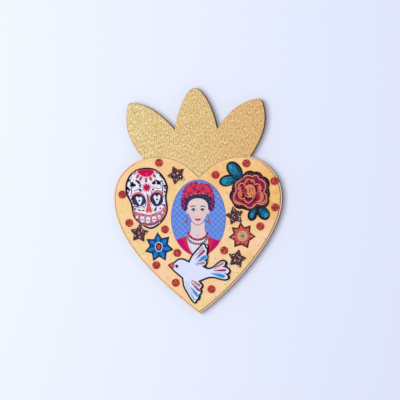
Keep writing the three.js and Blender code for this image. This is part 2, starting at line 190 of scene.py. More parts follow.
def printed(motif, node, slot, part, rank, finish, ovals=(), petals=(), patches=(), facets=(), lines=()):
    """One colour of a print. Each rank stands a hair prouder of the sheet than the one under it.
    An oval is its middle, half sizes and turn, and a petal its root, tip and width. A patch or a facet is the
    points round it, smooth or straight. Lines are a width and the paths drawn with it"""
    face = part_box(node)[0].y
    rise = rank * ink_step
    nothing_selected()
    flat = [oval(face, *shape) for shape in ovals]
    flat += [petal(face, *shape) for shape in petals]
    flat += [outline(face, points) for points in patches]
    flat += [outline(face, points, corners=range(len(points))) for points in facets]
    parts = []
    if flat:
        take(flat)
        bpy.ops.object.convert(target="MESH")
        sheet = one_piece(list(bpy.context.selected_objects))
        raised(sheet, rise)
        parts.append(sheet)
    if lines:
        take([stroke(face, rise, width, points) for width, *paths in lines for points in paths])
        bpy.ops.object.convert(target="MESH")
        parts.append(one_piece(list(bpy.context.selected_objects)))
    piece = one_piece(parts)
    outward_faces(piece)
    bpy.ops.object.shade_smooth_by_angle(angle=crease)
    return finished(piece, f"{motif}_{part}", finish)


def ground(name, node, finish, margin):
    """The printed ground of a cut-out: its front face drawn in by a margin, so that a rim shows"""
    nothing_selected()
    piece = bpy.data.objects.new(name, nodes[node].data.copy())
    bpy.context.scene.collection.objects.link(piece)
    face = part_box(node)[0].y
    editing(piece)
    bpy.ops.mesh.remove_doubles(threshold=weld)
    bpy.ops.mesh.dissolve_limited(angle_limit=flat_enough)
    bpy.ops.mesh.select_all(action="DESELECT")
    shape = bmesh.from_edit_mesh(piece.data)
    for part in shape.faces:
        part.select_set(all(abs(corner.co.y - face) < weld for corner in part.verts))
    bmesh.update_edit_mesh(piece.data)
    bpy.ops.mesh.inset(thickness=margin * MM, use_even_offset=True)
    bpy.ops.mesh.select_all(action="INVERT")
    bpy.ops.mesh.delete(type="FACE")
    done_editing()
    raised(piece, ink_step)
    outward_faces(piece)
    return finished(piece, name, finish)


# Finishes

def tone(code):
    """A colour written as six hex digits, as the shader's linear values"""
    parts = [int(code[i:i + 2], 16) / 255 for i in (0, 2, 4)]
    return [part / 12.92 if part <= 0.04045 else ((part + 0.055) / 1.055) ** 2.4 for part in parts] + [1]


def new_finish(name, roughness, metallic=0.0, shine=0.15):
    made = bpy.data.materials.new(name)
    made.use_nodes = True
    shader = made.node_tree.nodes["Principled BSDF"]
    shader.inputs["Roughness"].default_value = roughness
    shader.inputs["Metallic"].default_value = metallic
    shader.inputs["Specular IOR Level"].default_value = shine
    finishes[name] = made
    return made.node_tree, shader


def put(tree, kind, values=(), **settings):
    """A shader node with its settings, and its inputs set or linked by place or name"""
    node = tree.nodes.new(kind)
    for key, value in settings.items():
        setattr(node, key, value)
    for key, value in dict(values).items():
        if isinstance(value, bpy.types.NodeSocket):
            tree.links.new(value, node.inputs[key])
        else:
            node.inputs[key].default_value = value
    return node


def place(tree, stretch=(1, 1, 1), turn=0):
    """Where a point is on the plaque, in metres, stretched or turned in the plane of its face"""
    where = put(tree, "ShaderNodeTexCoord").outputs["Object"]
    if stretch == (1, 1, 1) and not turn:
        return where
    return put(tree, "ShaderNodeMapping", {"Vector": where, "Rotation": (0, radians(turn), 0),
                                           "Scale": stretch}).outputs[0]


def axes(tree, vector=None):
    """The X, Y and Z of a vector, or of the place on the plaque"""
    return put(tree, "ShaderNodeSeparateXYZ", {0: vector or place(tree)}).outputs


def grain(tree, size, detail=2.0, where=None):
    """Cloudy noise whose blobs are about this many millimetres across"""
    noise = put(tree, "ShaderNodeTexNoise", {"Vector": where or place(tree), "Scale": 1 / (size * MM),
                                             "Detail": detail, "Roughness": 0.6})
    return noise.outputs["Fac"]


def span(tree, value, low, high, start=0.0, end=1.0):
    """Part of a value's range, stretched over another range and kept within it"""
    return put(tree, "ShaderNodeMapRange", {0: value, 1: low, 2: high, 3: start, 4: end}).outputs[0]


def blend(tree, share, first, second, mode="MIX"):
    mixed = put(tree, "ShaderNodeMix", {0: share, 6: first, 7: second}, data_type="RGBA", blend_type=mode)
    return mixed.outputs[2]


def mottled(tree, main, second, size, low=0.3, high=0.7, detail=2.0, where=None):
    """Two tones in clouds of this many millimetres"""
    return blend(tree, span(tree, grain(tree, size, detail, where), low, high), tone(main), tone(second))


def sums(tree, operation, first, second=0.0):
    return put(tree, "ShaderNodeMath", {0: first, 1: second}, operation=operation).outputs[0]


def vectors(tree, operation, first, second=(0, 0, 0)):
    return put(tree, "ShaderNodeVectorMath", {0: first, 1: second}, operation=operation)


def relief(tree, shader, height, depth, strength):
    """Fine relief of this many millimetres"""
    bump = put(tree, "ShaderNodeBump", {"Height": height, "Distance": depth * MM, "Strength": strength})
    tree.links.new(bump.outputs[0], shader.inputs["Normal"])


def paper_tooth(tree, shader):
    relief(tree, shader, grain(tree, 0.25), 0.012, 0.6)


def colour(tree, shader, value):
    tree.links.new(value, shader.inputs["Base Color"])


def edge_share(tree):
    """1 on the cut sides of a sheet and 0 on its faces"""
    normal = put(tree, "ShaderNodeNewGeometry").outputs["True Normal"]
    return span(tree, sums(tree, "ABSOLUTE", axes(tree, normal)["Y"]), 0.7, 0.3)


def nearness(tree, x, z, reach):
    """1 at a spot of the face, fading to 0 this many millimetres away"""
    spot = vectors(tree, "SUBTRACT", place(tree), (x * MM, 0, z * MM)).outputs[0]
    flat = vectors(tree, "MULTIPLY", spot, (1, 0, 1)).outputs[0]
    return span(tree, vectors(tree, "LENGTH", flat).outputs["Value"], reach * MM, 0)


def printer_ink(name, main, second, patch, share=0.55):
    """Printed colour: two close tones in soft patches, a fine dot screen and the tooth of the paper"""
    tree, shader = new_finish(name, 0.5, shine=0.03)
    cloud = span(tree, grain(tree, patch), 0.35, 0.65, 0, share)
    screen = span(tree, grain(tree, 0.35, 1.0), 0.3, 0.7, -0.14, 0.14)
    colour(tree, shader, blend(tree, sums(tree, "ADD", cloud, screen), tone(main), tone(second)))
    paper_tooth(tree, shader)


# Each ink's two tones, the size of its patches in millimetres and, where it isn't the usual one, their share
inks = {
    "skull_white": ("f1eff9", "dcdaec", 2.0, 0.8), "jaw_pink": ("c2747c", "b0606e", 1.4),
    "jaw_mauve": ("93506c", "7d4664", 1.2), "halo_peach": ("f2c4c4", "e8b2b4", 1.2),
    "gum_pink": ("e6acb8", "dc98a6", 1.0), "tooth_white": ("efe6ec", "dfd0da", 0.9),
    "drop_rose": ("9c4c5c", "8e4658", 1.0), "skull_coral": ("d8716a", "c55a62", 1.2),
    "brow_rose": ("c56f78", "b35c68", 1.2), "petal_pink": ("ec96a8", "e2788e", 1.0),
    "crimson": ("cc0a4c", "b80444", 1.6), "eye_wine": ("8c2648", "6f1d42", 1.0),
    "line_black": ("1b0f18", "241722", 1.5), "eye_navy": ("2c3148", "3a4058", 1.6),
    "maroon_ink": ("6f0f2e", "560b26", 0.9), "nose_coral": ("de5c4e", "cc4350", 1.4),
    "violet_ink": ("7b3470", "5f2a5a", 0.9), "petal_cream": ("f1e4c6", "e6d3b4", 1.0),
    "leaf_teal": ("084a64", "06384f", 2.4), "leaf_green": ("0d6e88", "0c5a76", 2.0),
    "leaf_cyan": ("2293aa", "177f98", 1.8), "leaf_pale": ("6bb4cc", "4a9abc", 1.0),
    "rose_coral": ("e69480", "da7f6c", 1.3), "petal_wine": ("962e38", "861f38", 1.4),
    "petal_rose": ("a63a40", "9a2f3a", 1.4), "petal_deep": ("661020", "560a1c", 1.2),
    "petal_magenta": ("8e1450", "7c0a44", 1.3), "petal_brick": ("b04640", "a03a38", 1.2),
    "petal_orange": ("d87648", "c75f42", 1.2), "petal_gold": ("e0925f", "d47a4e", 1.1),
    "border_wine": ("44181f", "34141c", 0.8), "speck_rose": ("c98086", "ac6068", 0.7),
    "dove_white": ("dfe3f8", "d6daf2", 5.0), "beak_rose": ("cf5f6b", "b94e5e", 1.2),
    "feather_tan": ("c0a095", "a98678", 1.0), "feather_salmon": ("c4826f", "b3705f", 1.2),
    "feather_crimson": ("a8364a", "92304a", 1.2), "feather_sky": ("a3caee", "b9d5f2", 1.6),
    "feather_blue": ("3b86cb", "4f98d8", 1.4), "feather_grey": ("a59fb4", "8f8ba4", 0.9),
    "star_blue": ("0d5da8", "0a4f96", 2.2), "star_azure": ("1a78bd", "2486c6", 1.4),
    "line_navy": ("1c2747", "131c38", 1.2), "star_pale": ("cfe4f4", "b5d3ea", 1.0),
    "middle_wine": ("5a1030", "41102c", 1.0), "middle_red": ("c2485a", "ad3a4e", 0.9),
    "star_coral": ("bd4944", "a83a3c", 2.0), "star_ember": ("d0605a", "c4524c", 1.3),
    "star_peach": ("e9a284", "d98a70", 0.9), "middle_rust": ("9c5c44", "8a4a3a", 0.7),
    "dress_magenta": ("c4066a", "b60060", 2.6), "dress_red": ("d02a48", "c2284e", 2.4),
    "blouse_pale": ("ecdde4", "e2cfd9", 2.4), "skin_shade": ("dcc1c0", "d3b3b3", 1.4),
    "skin_blush": ("e7c3c3", "e9cac8", 1.2), "skin_line": ("b98c90", "a67a80", 0.9),
    "line_soft": ("43343f", "56434d", 0.8), "bead_green": ("5f665e", "4c534c", 0.7),
    "bead_grey": ("a3a69f", "8b8f88", 0.7), "bead_wine": ("8f1746", "74103a", 0.8),
    "bead_magenta": ("b0285e", "8f1f58", 0.8), "hair_dark": ("2f2a44", "3a304e", 1.6),
    "hair_light": ("574a70", "473c60", 0.8), "braid_plum": ("4e2058", "3a1b48", 0.8),
    "braid_pink": ("a83a74", "8c3068", 0.8), "eye_white": ("f3eef0", "e6dde2", 0.6),
    "iris_brown": ("5c4034", "4a3028", 0.4), "lip_rose": ("c65c6e", "b84c62", 0.8),
    "crown_crimson": ("ab1a48", "930f42", 1.4), "crown_magenta": ("b01866", "98105a", 1.2),
    "crown_rose": ("d43c58", "c42c50", 1.2), "crown_wine": ("8c1038", "98143e", 0.8),
}


def make_skin():
    """The portrait's skin: pale rose, a little warmer on the cheeks"""
    tree, shader = new_finish("skin", 0.5)
    cheeks = [nearness(tree, x, -41.6, 4.4) for x in (-5.5, 4.1)]
    warm = sums(tree, "MULTIPLY", sums(tree, "ADD", *cheeks), 0.6)
    colour(tree, shader, blend(tree, warm, mottled(tree, "e6cdc8", "e0c5c2", 2.2), tone("ddabad")))
    paper_tooth(tree, shader)


def make_board():
    """Raw fibre board: felted face, gilt under the crown, plain behind, with cut sides burnt in streaks"""
    tree, shader = new_finish("board_raw", 0.75, shine=0.05)
    felt = mottled(tree, "fce0c6", "f2d0b2", 0.6, detail=3.0)
    cloud = blend(tree, span(tree, grain(tree, 14.0), 0.4, 0.7, 0, 0.5), felt, tone("e6c2a2"))
    under_crown = span(tree, axes(tree)["Z"], 3.0 * MM, 4.0 * MM)
    front = blend(tree, under_crown, cloud, tone("a98a5c"))
    fibre = mottled(tree, "cdb094", "b8987a", 1.1, detail=3.0)
    normal = put(tree, "ShaderNodeNewGeometry").outputs["True Normal"]
    face = blend(tree, span(tree, axes(tree, normal)["Y"], 0.4, 0.6), front, fibre)
    burnt = mottled(tree, "4a3830", "63504a", 0.5, where=place(tree, (1, 0.12, 1)))
    colour(tree, shader, blend(tree, edge_share(tree), face, burnt))
    relief(tree, shader, grain(tree, 0.35, 3.0), 0.05, 0.6)


def make_heart_card():
    """Peach paper with watercolour clouds in yellow, pink and orange, which dry darker along their borders.
    Its upper right is warmer"""
    tree, shader = new_finish("heart_peach", 0.6, shine=0.05)
    wash = grain(tree, 11.0, 4.0)
    paint = blend(tree, span(tree, wash, 0.42, 0.5), tone("f3d694"), tone("fdd0a2"))
    border = span(tree, sums(tree, "ABSOLUTE", sums(tree, "SUBTRACT", wash, 0.46)), 0.022, 0, 0, 0.5)
    paint = blend(tree, border, paint, tone("eebb82"))
    second_wash = grain(tree, 7.0, 4.0, place(tree, turn=40))
    paint = blend(tree, span(tree, second_wash, 0.52, 0.6, 0, 0.7), paint, tone("fadcae"))
    orange_spots = [(14, -12, 17, 0.8), (30, -44, 10, 0.75), (55, -24, 30, 0.95), (-21, -10, 13, 0.4),
                    (38, -75, 14, 0.4), (-40, -60, 12, 0.35)]
    for x, z, reach, share in orange_spots:
        ragged = span(tree, grain(tree, 5.0, 3.0), 0.3, 0.55)
        near = sums(tree, "MULTIPLY", nearness(tree, x, z, reach), ragged)
        paint = blend(tree, sums(tree, "MULTIPLY", near, share), paint, tone("f6ad58"))
    freckle = span(tree, grain(tree, 0.8, 3.0), 0.3, 0.72, -0.1, 0.35)
    card = blend(tree, freckle, paint, tone("ecbd84"))
    spot = axes(tree)
    upper = span(tree, spot["Z"], -55 * MM, -32 * MM)
    right = span(tree, spot["X"], 25 * MM, 55 * MM, 0.35, 1.0)
    warm = sums(tree, "MULTIPLY", upper, right)
    colour(tree, shader, blend(tree, warm, card, tone("fbf5cf"), mode="MULTIPLY"))
    tooth = sums(tree, "ADD", grain(tree, 0.3, 2.0), grain(tree, 0.9, 1.0, place(tree, (1, 1, 0.3))))
    relief(tree, shader, tooth, 0.03, 0.7)


def make_crown_card():
    """Gold card with a fine upright leather grain. Painted sheen and shade: brighter and yellower on the
    left, toward the lamp, and darker and more orange on the right
    """
    tree, shader = new_finish("crown_gold", 0.45, shine=0.3)
    streaks = grain(tree, 0.58, 0.0, place(tree, (1, 1, 0.32), turn=6))
    stipple = grain(tree, 0.4, 1.0)
    level = sums(tree, "ADD", sums(tree, "MULTIPLY", streaks, 0.7), sums(tree, "MULTIPLY", stipple, 0.3))
    tones = put(tree, "ShaderNodeValToRGB", {0: level})
    stops = tones.color_ramp.elements
    for share, code in ((0.34, "b48f54"), (0.44, "d4b274"), (0.56, "e6cf98"), (0.66, "f6eabf")):
        stop = stops.new(share)
        stop.color = tone(code)
    stops.remove(stops[0])
    stops.remove(stops[-1])
    across = axes(tree)["X"]
    # Painted sheen on the left, toward the lamp, and painted shade on the right; the clouds after this are
    # the card's own tone
    painted_sheen_and_tint = blend(tree, span(tree, across, -50 * MM, 20 * MM), tone("fdfff2"), tone("f8eacc"))
    painted_sheen_and_tint = blend(tree, span(tree, across, 10 * MM, 50 * MM), painted_sheen_and_tint, tone("f6d8b8"))
    cloud = span(tree, grain(tree, 6.0, 3.0, place(tree, (1, 1, 0.5), turn=20)), 0.4, 0.68, 0, 0.7)
    painted_sheen_and_tint = blend(tree, cloud, painted_sheen_and_tint, tone("f8e2c0"))
    gold = blend(tree, 1.0, tones.outputs[0], painted_sheen_and_tint, mode="MULTIPLY")
    colour(tree, shader, blend(tree, edge_share(tree), gold, tone("6f5538")))
    relief(tree, shader, level, 0.04, 0.9)


def make_heart_cut():
    """The heart card's core, a thin line round its printed face: burnt brown, but pale along the crown"""
    tree, shader = new_finish("heart_cut", 0.7, shine=0.05)
    burnt = mottled(tree, "a9774e", "946444", 0.7)
    where = axes(tree)
    inside = span(tree, sums(tree, "ABSOLUTE", where["X"]), 49 * MM, 47 * MM)
    upper = span(tree, where["Z"], -20 * MM, -18 * MM)
    colour(tree, shader, blend(tree, sums(tree, "MULTIPLY", inside, upper), burnt, tone("dcae7c")))
    relief(tree, shader, grain(tree, 0.3), 0.02, 0.6)


def make_cameo_paper():
    """Blue paper printed with nested diamonds, and a thin dull rim round the oval, redder at its foot"""
    tree, shader = new_finish("cameo_blue", 0.5, shine=0.03)
    where = axes(tree)
    across = sums(tree, "PINGPONG", where["X"], diamond_tile / 2 * MM)
    up = sums(tree, "PINGPONG", where["Z"], diamond_tile / 2 * MM)
    ring = sums(tree, "PINGPONG", sums(tree, "ADD", across, up), diamond_line * MM)
    wobble = span(tree, grain(tree, 0.8), 0.3, 0.7, -0.3, 0.3)
    lit = sums(tree, "ADD", span(tree, ring, 0.15 * diamond_line * MM, 0.85 * diamond_line * MM), wobble)
    blue = blend(tree, lit, tone("3b6dc2"), tone("84a5ec"))
    blue = blend(tree, span(tree, grain(tree, 4.0), 0.4, 0.7, 0, 0.35), blue, tone("6480cf"))
    low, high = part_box("cameo_card")
    middle, half = (low + high) / 2, (high - low) / 2
    spot = vectors(tree, "SUBTRACT", place(tree), (middle.x, 0, middle.z)).outputs[0]
    share = vectors(tree, "MULTIPLY", spot, (1 / half.x, 0, 1 / half.z)).outputs[0]
    out = vectors(tree, "LENGTH", share).outputs["Value"]
    trim = blend(tree, span(tree, where["Z"], -58 * MM, -60 * MM), tone("6674b4"), tone("b4285c"))
    rim = blend(tree, span(tree, out, 0.962, 0.982), blue, trim)
    colour(tree, shader, blend(tree, edge_share(tree), rim, tone("b9a9b4")))
    paper_tooth(tree, shader)


def make_dark_paper(name, main, second):
    """The dark printed rim of a cut-out, and its cut edge"""
    tree, shader = new_finish(name, 0.5, shine=0.03)
    rim = mottled(tree, main, second, 0.9, 0.35, 0.65)
    colour(tree, shader, blend(tree, sums(tree, "MULTIPLY", edge_share(tree), 0.45), rim, tone("8f7a70")))
    paper_tooth(tree, shader)


def make_glitter(name, main, second, side):
    """Glitter sheet under the flakes: dark foam with a fine sparkle"""
    tree, shader = new_finish(name, 0.6, metallic=0.1)
    speck = mottled(tree, main, second, 0.5, 0.38, 0.62, detail=3.0)
    colour(tree, shader, blend(tree, edge_share(tree), speck, tone(side)))
    relief(tree, shader, grain(tree, 0.4, 3.0), 0.08, 0.9)


def make_flake(name, main, second, roughness):
    """Glitter flakes: foil chips whose tone is mottled a little from chip to chip. A glitter's pale chips
    made with this are painted glint, and its dark chips painted shade
    """
    tree, shader = new_finish(name, roughness, metallic=0.35)
    colour(tree, shader, mottled(tree, main, second, 0.9, 0.42, 0.58, detail=1.0))
    relief(tree, shader, grain(tree, 0.15, 1.0), 0.004, 0.5)


def make_steel(name, main, second, roughness, stretch):
    """Plated steel, a little clouded along the way it was rolled"""
    tree, shader = new_finish(name, roughness, metallic=1.0, shine=0.5)
    colour(tree, shader, mottled(tree, main, second, 1.6, 0.35, 0.65, where=place(tree, stretch)))
    relief(tree, shader, grain(tree, 0.3, 2.0, place(tree, stretch)), 0.01, 0.6)


def make_finishes():
    for name, look in inks.items():
        printer_ink(name, *look)
    make_skin()
    make_board()
    make_heart_card()
    make_crown_card()
    make_heart_cut()
    make_cameo_paper()
    make_dark_paper("skull_rim", "1c0f17", "2a1a24")
    make_dark_paper("rose_rim", "1d1320", "2c1522")
    make_dark_paper("dove_rim", "1a0f16", "281b22")
    make_dark_paper("blue_star_rim", "1b2645", "131a33")
    make_dark_paper("red_star_rim", "3b1318", "4a1a20")
    make_glitter("brown_glitter_sheet", "5e3a3a", "442426", "33181a")
    make_glitter("red_glitter_sheet", "a52c26", "b83a34", "6a1812")
    # Pale flakes are painted glint and dark flakes painted shade: lit and shaded copies of one glitter's
    # chips
    make_flake("brown_glint_flakes", "f0d4d6", "a87a7c", 0.4)
    make_flake("brown_dark_flakes", "341618", "220e10", 0.5)
    make_flake("red_glint_flakes", "e07a70", "cc4c44", 0.4)
    make_flake("red_dark_flakes", "7c1412", "600e0c", 0.5)
    make_flake("middle_gold", "c6a57a", "a98a62", 0.6)
    make_flake("speck_gold", "bf9a58", "ab8a50", 0.6)
    make_steel("zinc_plate", "b8bcc0", "9a9ea4", 0.38, (0.3, 1, 1))
    make_steel("nail_steel_bright", "8f9094", "77787c", 0.32, (1, 1, 1))


def dress_nodes():
    """The CAD's own sheets keep their shapes and get their finishes"""
    names = {
        "back_board": "board_raw", "heart_card": "heart_cut", "crown_card": "crown_gold",
        "cameo_card": "cameo_blue", "skull_cutout": "skull_rim", "rose_cutout": "rose_rim",
        "dove_cutout": "dove_rim", "blue_star_flower": "blue_star_rim", "red_star_flower": "red_star_rim",
        "sawtooth_hanger": "zinc_plate", "hanger_nail_left": "nail_steel_bright",
        "hanger_nail_right": "nail_steel_bright",
    }
    for name, node in nodes.items():
        sheet = "brown_glitter_sheet" if name.startswith("glitter_star") else "red_glitter_sheet"
        finish = finishes[names.get(name, sheet)]
        if not node.material_slots:
            node.data.materials.append(None)
        for slot in node.material_slots:
            slot.link = "OBJECT"
            slot.material = finish


# Prints

def print_skull():
    """The sugar skull: a white face in a dark rim, with its flowers, eyes, nose and teeth"""
    ground("skull_white", "skull_cutout", "skull_white", margin=1.4)
    skull = partial(printed, "skull", "skull_cutout", "skull_paper")
    skull("jaw", 2, "jaw_pink", patches=[
        [(-50, -37.9), (-47.6, -39), (-44.1, -39.9), (-40.3, -40.8), (-36.5, -40.9), (-32.7, -39.3),
         (-29.3, -37.9), (-26.9, -35.4), (-25.5, -34.1), (-24.8, -35.7), (-25.1, -39), (-26.7, -42.6),
         (-29.3, -45.8), (-32.7, -48.3), (-36.8, -49.5), (-41.1, -48.9), (-44.9, -46.8), (-47.6, -43.9),
         (-49.4, -40.8)],
    ])
    skull("jaw_shade", 3, "jaw_mauve", ovals=[
        (-42.3, -41.1, 0.98, 0.53, 20), (-35.1, -41.6, 0.83, 0.45, -20),
    ], lines=[
        (1.28, [(-47, -44.7), (-44.6, -46.8), (-41.5, -47.9), (-38.2, -48.4), (-34.7, -48), (-31.1, -46.2),
          (-28.3, -43.5)]),
        (0.68, [(-45.9, -42.3), (-45.2, -44.9)]),
        (0.6, [(-41.1, -42.4), (-41.1, -47.2)], [(-36.6, -42.3), (-36.5, -47.2)],
         [(-32, -41.1), (-31.6, -45.6)]),
        (0.68, [(-28.7, -39), (-28, -42)]),
        (0.53, [(-49, -39.3), (-47.6, -42)]),
        (0.45, [(-31, -40.1), (-28.9, -43.9)], [(-26.7, -36.8), (-25.7, -39)]),
    ])
    skull("gums", 4, "gum_pink", ovals=[
        (-47.8, -42.9, 0.68, 1.13, -20), (-45.6, -48.1, 0.45, 0.3, 30), (-27, -40.1, 0.45, 0.68, 30),
        (-31.9, -39.4, 0.83, 0.53, 30), (-28.3, -40.2, 0.45, 0.6, 30), (-30.1, -47.2, 0.68, 0.38, 40),
    ], lines=[
        (0.45, [(-46.1, -41.7), (-43.8, -42.4), (-41.5, -42.1), (-38.9, -42.8), (-36.5, -42.1),
          (-33.7, -42.3), (-31.6, -40.8)]),
        (0.38, [(-30.7, -40.1), (-29.2, -38.4), (-27.3, -37.2)], [(-43.6, -48.4), (-41.1, -49.2)],
         [(-33.9, -48.9), (-31.5, -47.7)], [(-47.9, -42.3), (-46.8, -44.2)]),
    ])
    skull("jaw_coral", 4, "skull_coral", ovals=[
        (-45.5, -40.5, 1.43, 0.76, -12), (-26.1, -37.1, 0.6, 1.13, 14), (-29.9, -45.4, 0.91, 0.53, 40),
        (-41.4, -48.3, 0.83, 0.38, -6), (-39.8, -41.2, 0.83, 0.38),
    ])
    skull("teeth", 5, "tooth_white", ovals=[
        (-43.2, -43.7, 1.74, 1.43, -8), (-43, -45.7, 1.59, 1.28, -10), (-38.8, -44.2, 1.81, 1.43),
        (-38.8, -46.2, 1.74, 1.28), (-34.1, -43.6, 1.81, 1.36, 8), (-34, -45.3, 1.66, 1.13, 10),
        (-30.4, -42.3, 1.21, 1.06, 30), (-30.1, -43.6, 1.06, 0.83, 30), (-47.3, -42.8, 0.83, 1.13, -20),
        (-27.8, -39.1, 0.6, 0.76, 30),
    ])
    skull("teeth_lines", 6, "line_soft", lines=[
        (0.34, [(-44.9, -44.6), (-43.2, -44.9), (-41.4, -44.9)],
         [(-40.5, -45.2), (-38.8, -45.4), (-36.9, -45.2)], [(-35.9, -44.8), (-34.2, -44.6), (-32.4, -44.2)]),
        (0.3, [(-31.5, -43.2), (-30.4, -43.1), (-29.2, -42.6)]),
    ])
    skull("teeth_shade", 6, "feather_grey", ovals=[
        (-42.1, -46.4, 0.53, 0.38, -20), (-37.7, -46.8, 0.53, 0.38), (-33.1, -45.8, 0.53, 0.3, 20),
    ])
    skull("cap_edge", 3, "petal_pink", patches=[
        [(-47.3, -8.4), (-45.1, -7.4), (-42.6, -7), (-39.5, -6.8), (-36.5, -7.3), (-33.9, -8.2),
         (-34.5, -10.2), (-36.5, -12), (-40.3, -12.8), (-44.1, -11.9), (-46.2, -10.4)],
    ])
    skull("cap", 4, "crimson", patches=[
        [(-46.8, -8.6), (-44.9, -7.5), (-42.6, -7.1), (-39.5, -6.9), (-36.5, -7.4), (-34.4, -8.4),
         (-35.1, -9.9), (-37.1, -11.6), (-40.3, -12.4), (-43.3, -11.6), (-45.6, -10.1)],
    ])
    skull("cap_star", 5, "petal_pink", ovals=[
        (-40, -10.1, 0.38, 0.3),
    ], lines=[
        (0.26, [(-40.6, -10.8), (-39.8, -11.4), (-38.9, -10.8)]),
    ])
    skull("cap_glow", 2, "halo_peach", patches=[
        [(-48.5, -8.7), (-46.7, -7.8), (-44.9, -7.4), (-35.4, -7.4), (-32.8, -8.6), (-33, -10.9),
         (-34.7, -13.2), (-37.2, -14.2), (-40.3, -14.9), (-43.8, -14.2), (-46.4, -12.6), (-48.2, -10.8)],
    ])
    skull("drop_halos", 2, "gum_pink", petals=[
        (-47.9, -8.4, -50.5, -10.8, 1.81), (-45.8, -10.2, -47.9, -14.2, 2.19),
        (-43.5, -11.7, -45.5, -15.9, 2.19), (-40.4, -12.8, -40.4, -17.2, 2.11),
        (-37.9, -11.9, -35.9, -15.9, 2.04), (-35.3, -9.9, -32.7, -13.5, 1.96),
        (-33.3, -8.1, -31, -10.2, 1.51),
    ])
    skull("drops", 3, "drop_rose", petals=[
        (-48.2, -8.9, -49.9, -10.6, 1.28), (-46.2, -10.8, -47.4, -13.6, 1.59),
        (-43.9, -12.4, -45.1, -15.4, 1.66), (-40.4, -13.5, -40.4, -16.7, 1.59),
        (-37.5, -12.6, -36.3, -15.4, 1.51), (-34.7, -10.5, -33.3, -12.9, 1.43),
        (-32.8, -8.4, -31.3, -10.2, 1.13),
    ])
    skull("flower_rays", 3, "drop_rose", lines=[
        (0.45, [(-40, -18.4), (-40.1, -16.9)], [(-38.8, -18.6), (-38, -17.2)],
         [(-37.9, -19.5), (-36.3, -18.4)], [(-37.5, -20.6), (-35.9, -20.5)], [(-37.9, -21.9), (-36.3, -22.6)],
         [(-38.8, -22.8), (-37.9, -24.2)], [(-39.8, -23), (-39.8, -24.6)], [(-41.1, -22.8), (-42, -24.1)],
         [(-42, -21.9), (-43.6, -22.7)], [(-42.3, -20.6), (-44.1, -20.4)], [(-42, -19.4), (-43.5, -18.3)],
         [(-41.1, -18.6), (-41.8, -17.1)]),
    ])
    skull("flower", 4, "crimson", ovals=[
        (-39.9, -20.6, 2.27, 2.19),
    ], petals=[
        (-40, -19.2, -40.1, -17.6, 0.98), (-39.1, -19.4, -38.2, -17.9, 0.98),
        (-38.5, -20.1, -36.9, -19, 0.98), (-38.3, -20.9, -36.5, -20.6, 0.98),
        (-38.6, -21.6, -37.1, -22.4, 0.98), (-39.2, -22.1, -38.3, -23.6, 0.98),
        (-40, -22.2, -39.8, -23.9, 0.98), (-40.7, -22.1, -41.6, -23.5, 0.98),
        (-41.2, -21.4, -42.8, -22.4, 0.98), (-41.4, -20.7, -43.3, -20.5, 0.98),
        (-41.2, -19.9, -42.8, -18.9, 0.98), (-40.7, -19.4, -41.4, -17.9, 0.98),
    ])
    skull("brows", 2, "brow_rose", patches=[
        [(-51.6, -30), (-51.4, -27.3), (-49.7, -24.9), (-47.1, -24), (-44.4, -24.3), (-42.4, -25.8),
         (-41.1, -28.2), (-42.1, -29.7), (-45.2, -27.8), (-49, -27.8)],
        [(-37.2, -29.7), (-36.8, -26.2), (-35.1, -23.9), (-32.5, -22.6), (-29.6, -22.9), (-27.5, -25.2),
         (-26.9, -28.4), (-29.2, -27.8), (-32.4, -26.2), (-35.3, -27.4)],
    ])
    skull("brow_lights", 3, "petal_pink", lines=[
        (0.34, [(-51.1, -27.1), (-49.3, -25.2), (-46.7, -24.5), (-44.2, -25.1)],
         [(-36, -25.2), (-33.9, -23.6), (-31.3, -23.2), (-29.2, -24.4)]),
    ])
    skull("brow_shade", 4, "eye_wine", lines=[
        (1.66, [(-51.3, -30.3), (-50.6, -28.1), (-48.5, -26.6), (-45.8, -26.2), (-43, -27.4)]),
        (1.28, [(-36.6, -29.2), (-36, -26.9), (-33.7, -25.3), (-30.8, -25.2), (-28.4, -27)]),
        (0.6, [(-40, -25.1), (-39.5, -27.4), (-39.4, -30)]),
        (0.38, [(-37.7, -25.5), (-37.7, -28.1)]),
    ])
    skull("sockets", 5, "line_black", ovals=[(-45.8, -30.2, 5.44, 4.3, -9), (-32.1, -29.6, 4.76, 4.83, 8)])
    skull("eyes", 6, "eye_navy", ovals=[(-45.6, -30.4, 4.76, 3.7, -9), (-32.1, -29.9, 4.15, 4.15, 8)])
    skull("heart_shades", 7, "star_pale", patches=[
        [(-48.1, -28.1), (-47, -27.4), (-45.8, -28.5), (-44.9, -27.5), (-43.6, -27.9), (-43.3, -29.6),
         (-43.8, -31.6), (-44.9, -33.6), (-46.1, -32.7), (-47.3, -30.4)],
        [(-34.5, -27.1), (-33.4, -26.3), (-32, -27.7), (-30.8, -26.1), (-29.6, -26.6), (-29.6, -28.6),
         (-30.5, -30.9), (-31.8, -32.9), (-33.1, -31.1), (-34.2, -29.2)],
    ])
    skull("hearts", 8, "skull_white", patches=[
        [(-47.6, -28.2), (-46.8, -27.8), (-45.8, -29), (-44.9, -28.1), (-44.1, -28.4), (-43.9, -29.9),
         (-44.4, -31.6), (-45, -32.9), (-45.9, -31.9), (-47, -30.1)],
        [(-34, -27.3), (-33.3, -26.9), (-32, -28.3), (-30.8, -26.7), (-30.1, -27.1), (-30.2, -28.8),
         (-30.8, -30.6), (-31.8, -32.1), (-32.7, -30.8), (-33.7, -28.9)],
    ])
    skull("heart_dots", 9, "maroon_ink", ovals=[(-45.5, -30.5, 0.76), (-31.9, -29.6, 0.83)])
    skull("nose", 4, "nose_coral", patches=[
        [(-39.2, -29.6), (-38, -29.6), (-37.4, -32.7), (-36.5, -35.7), (-35.9, -38.1), (-36.6, -39.8),
         (-37.6, -39.5), (-38.3, -38.6), (-39, -39.8), (-40.1, -39.6), (-40.6, -38.1), (-40, -35.6),
         (-39.5, -32.6)],
    ])
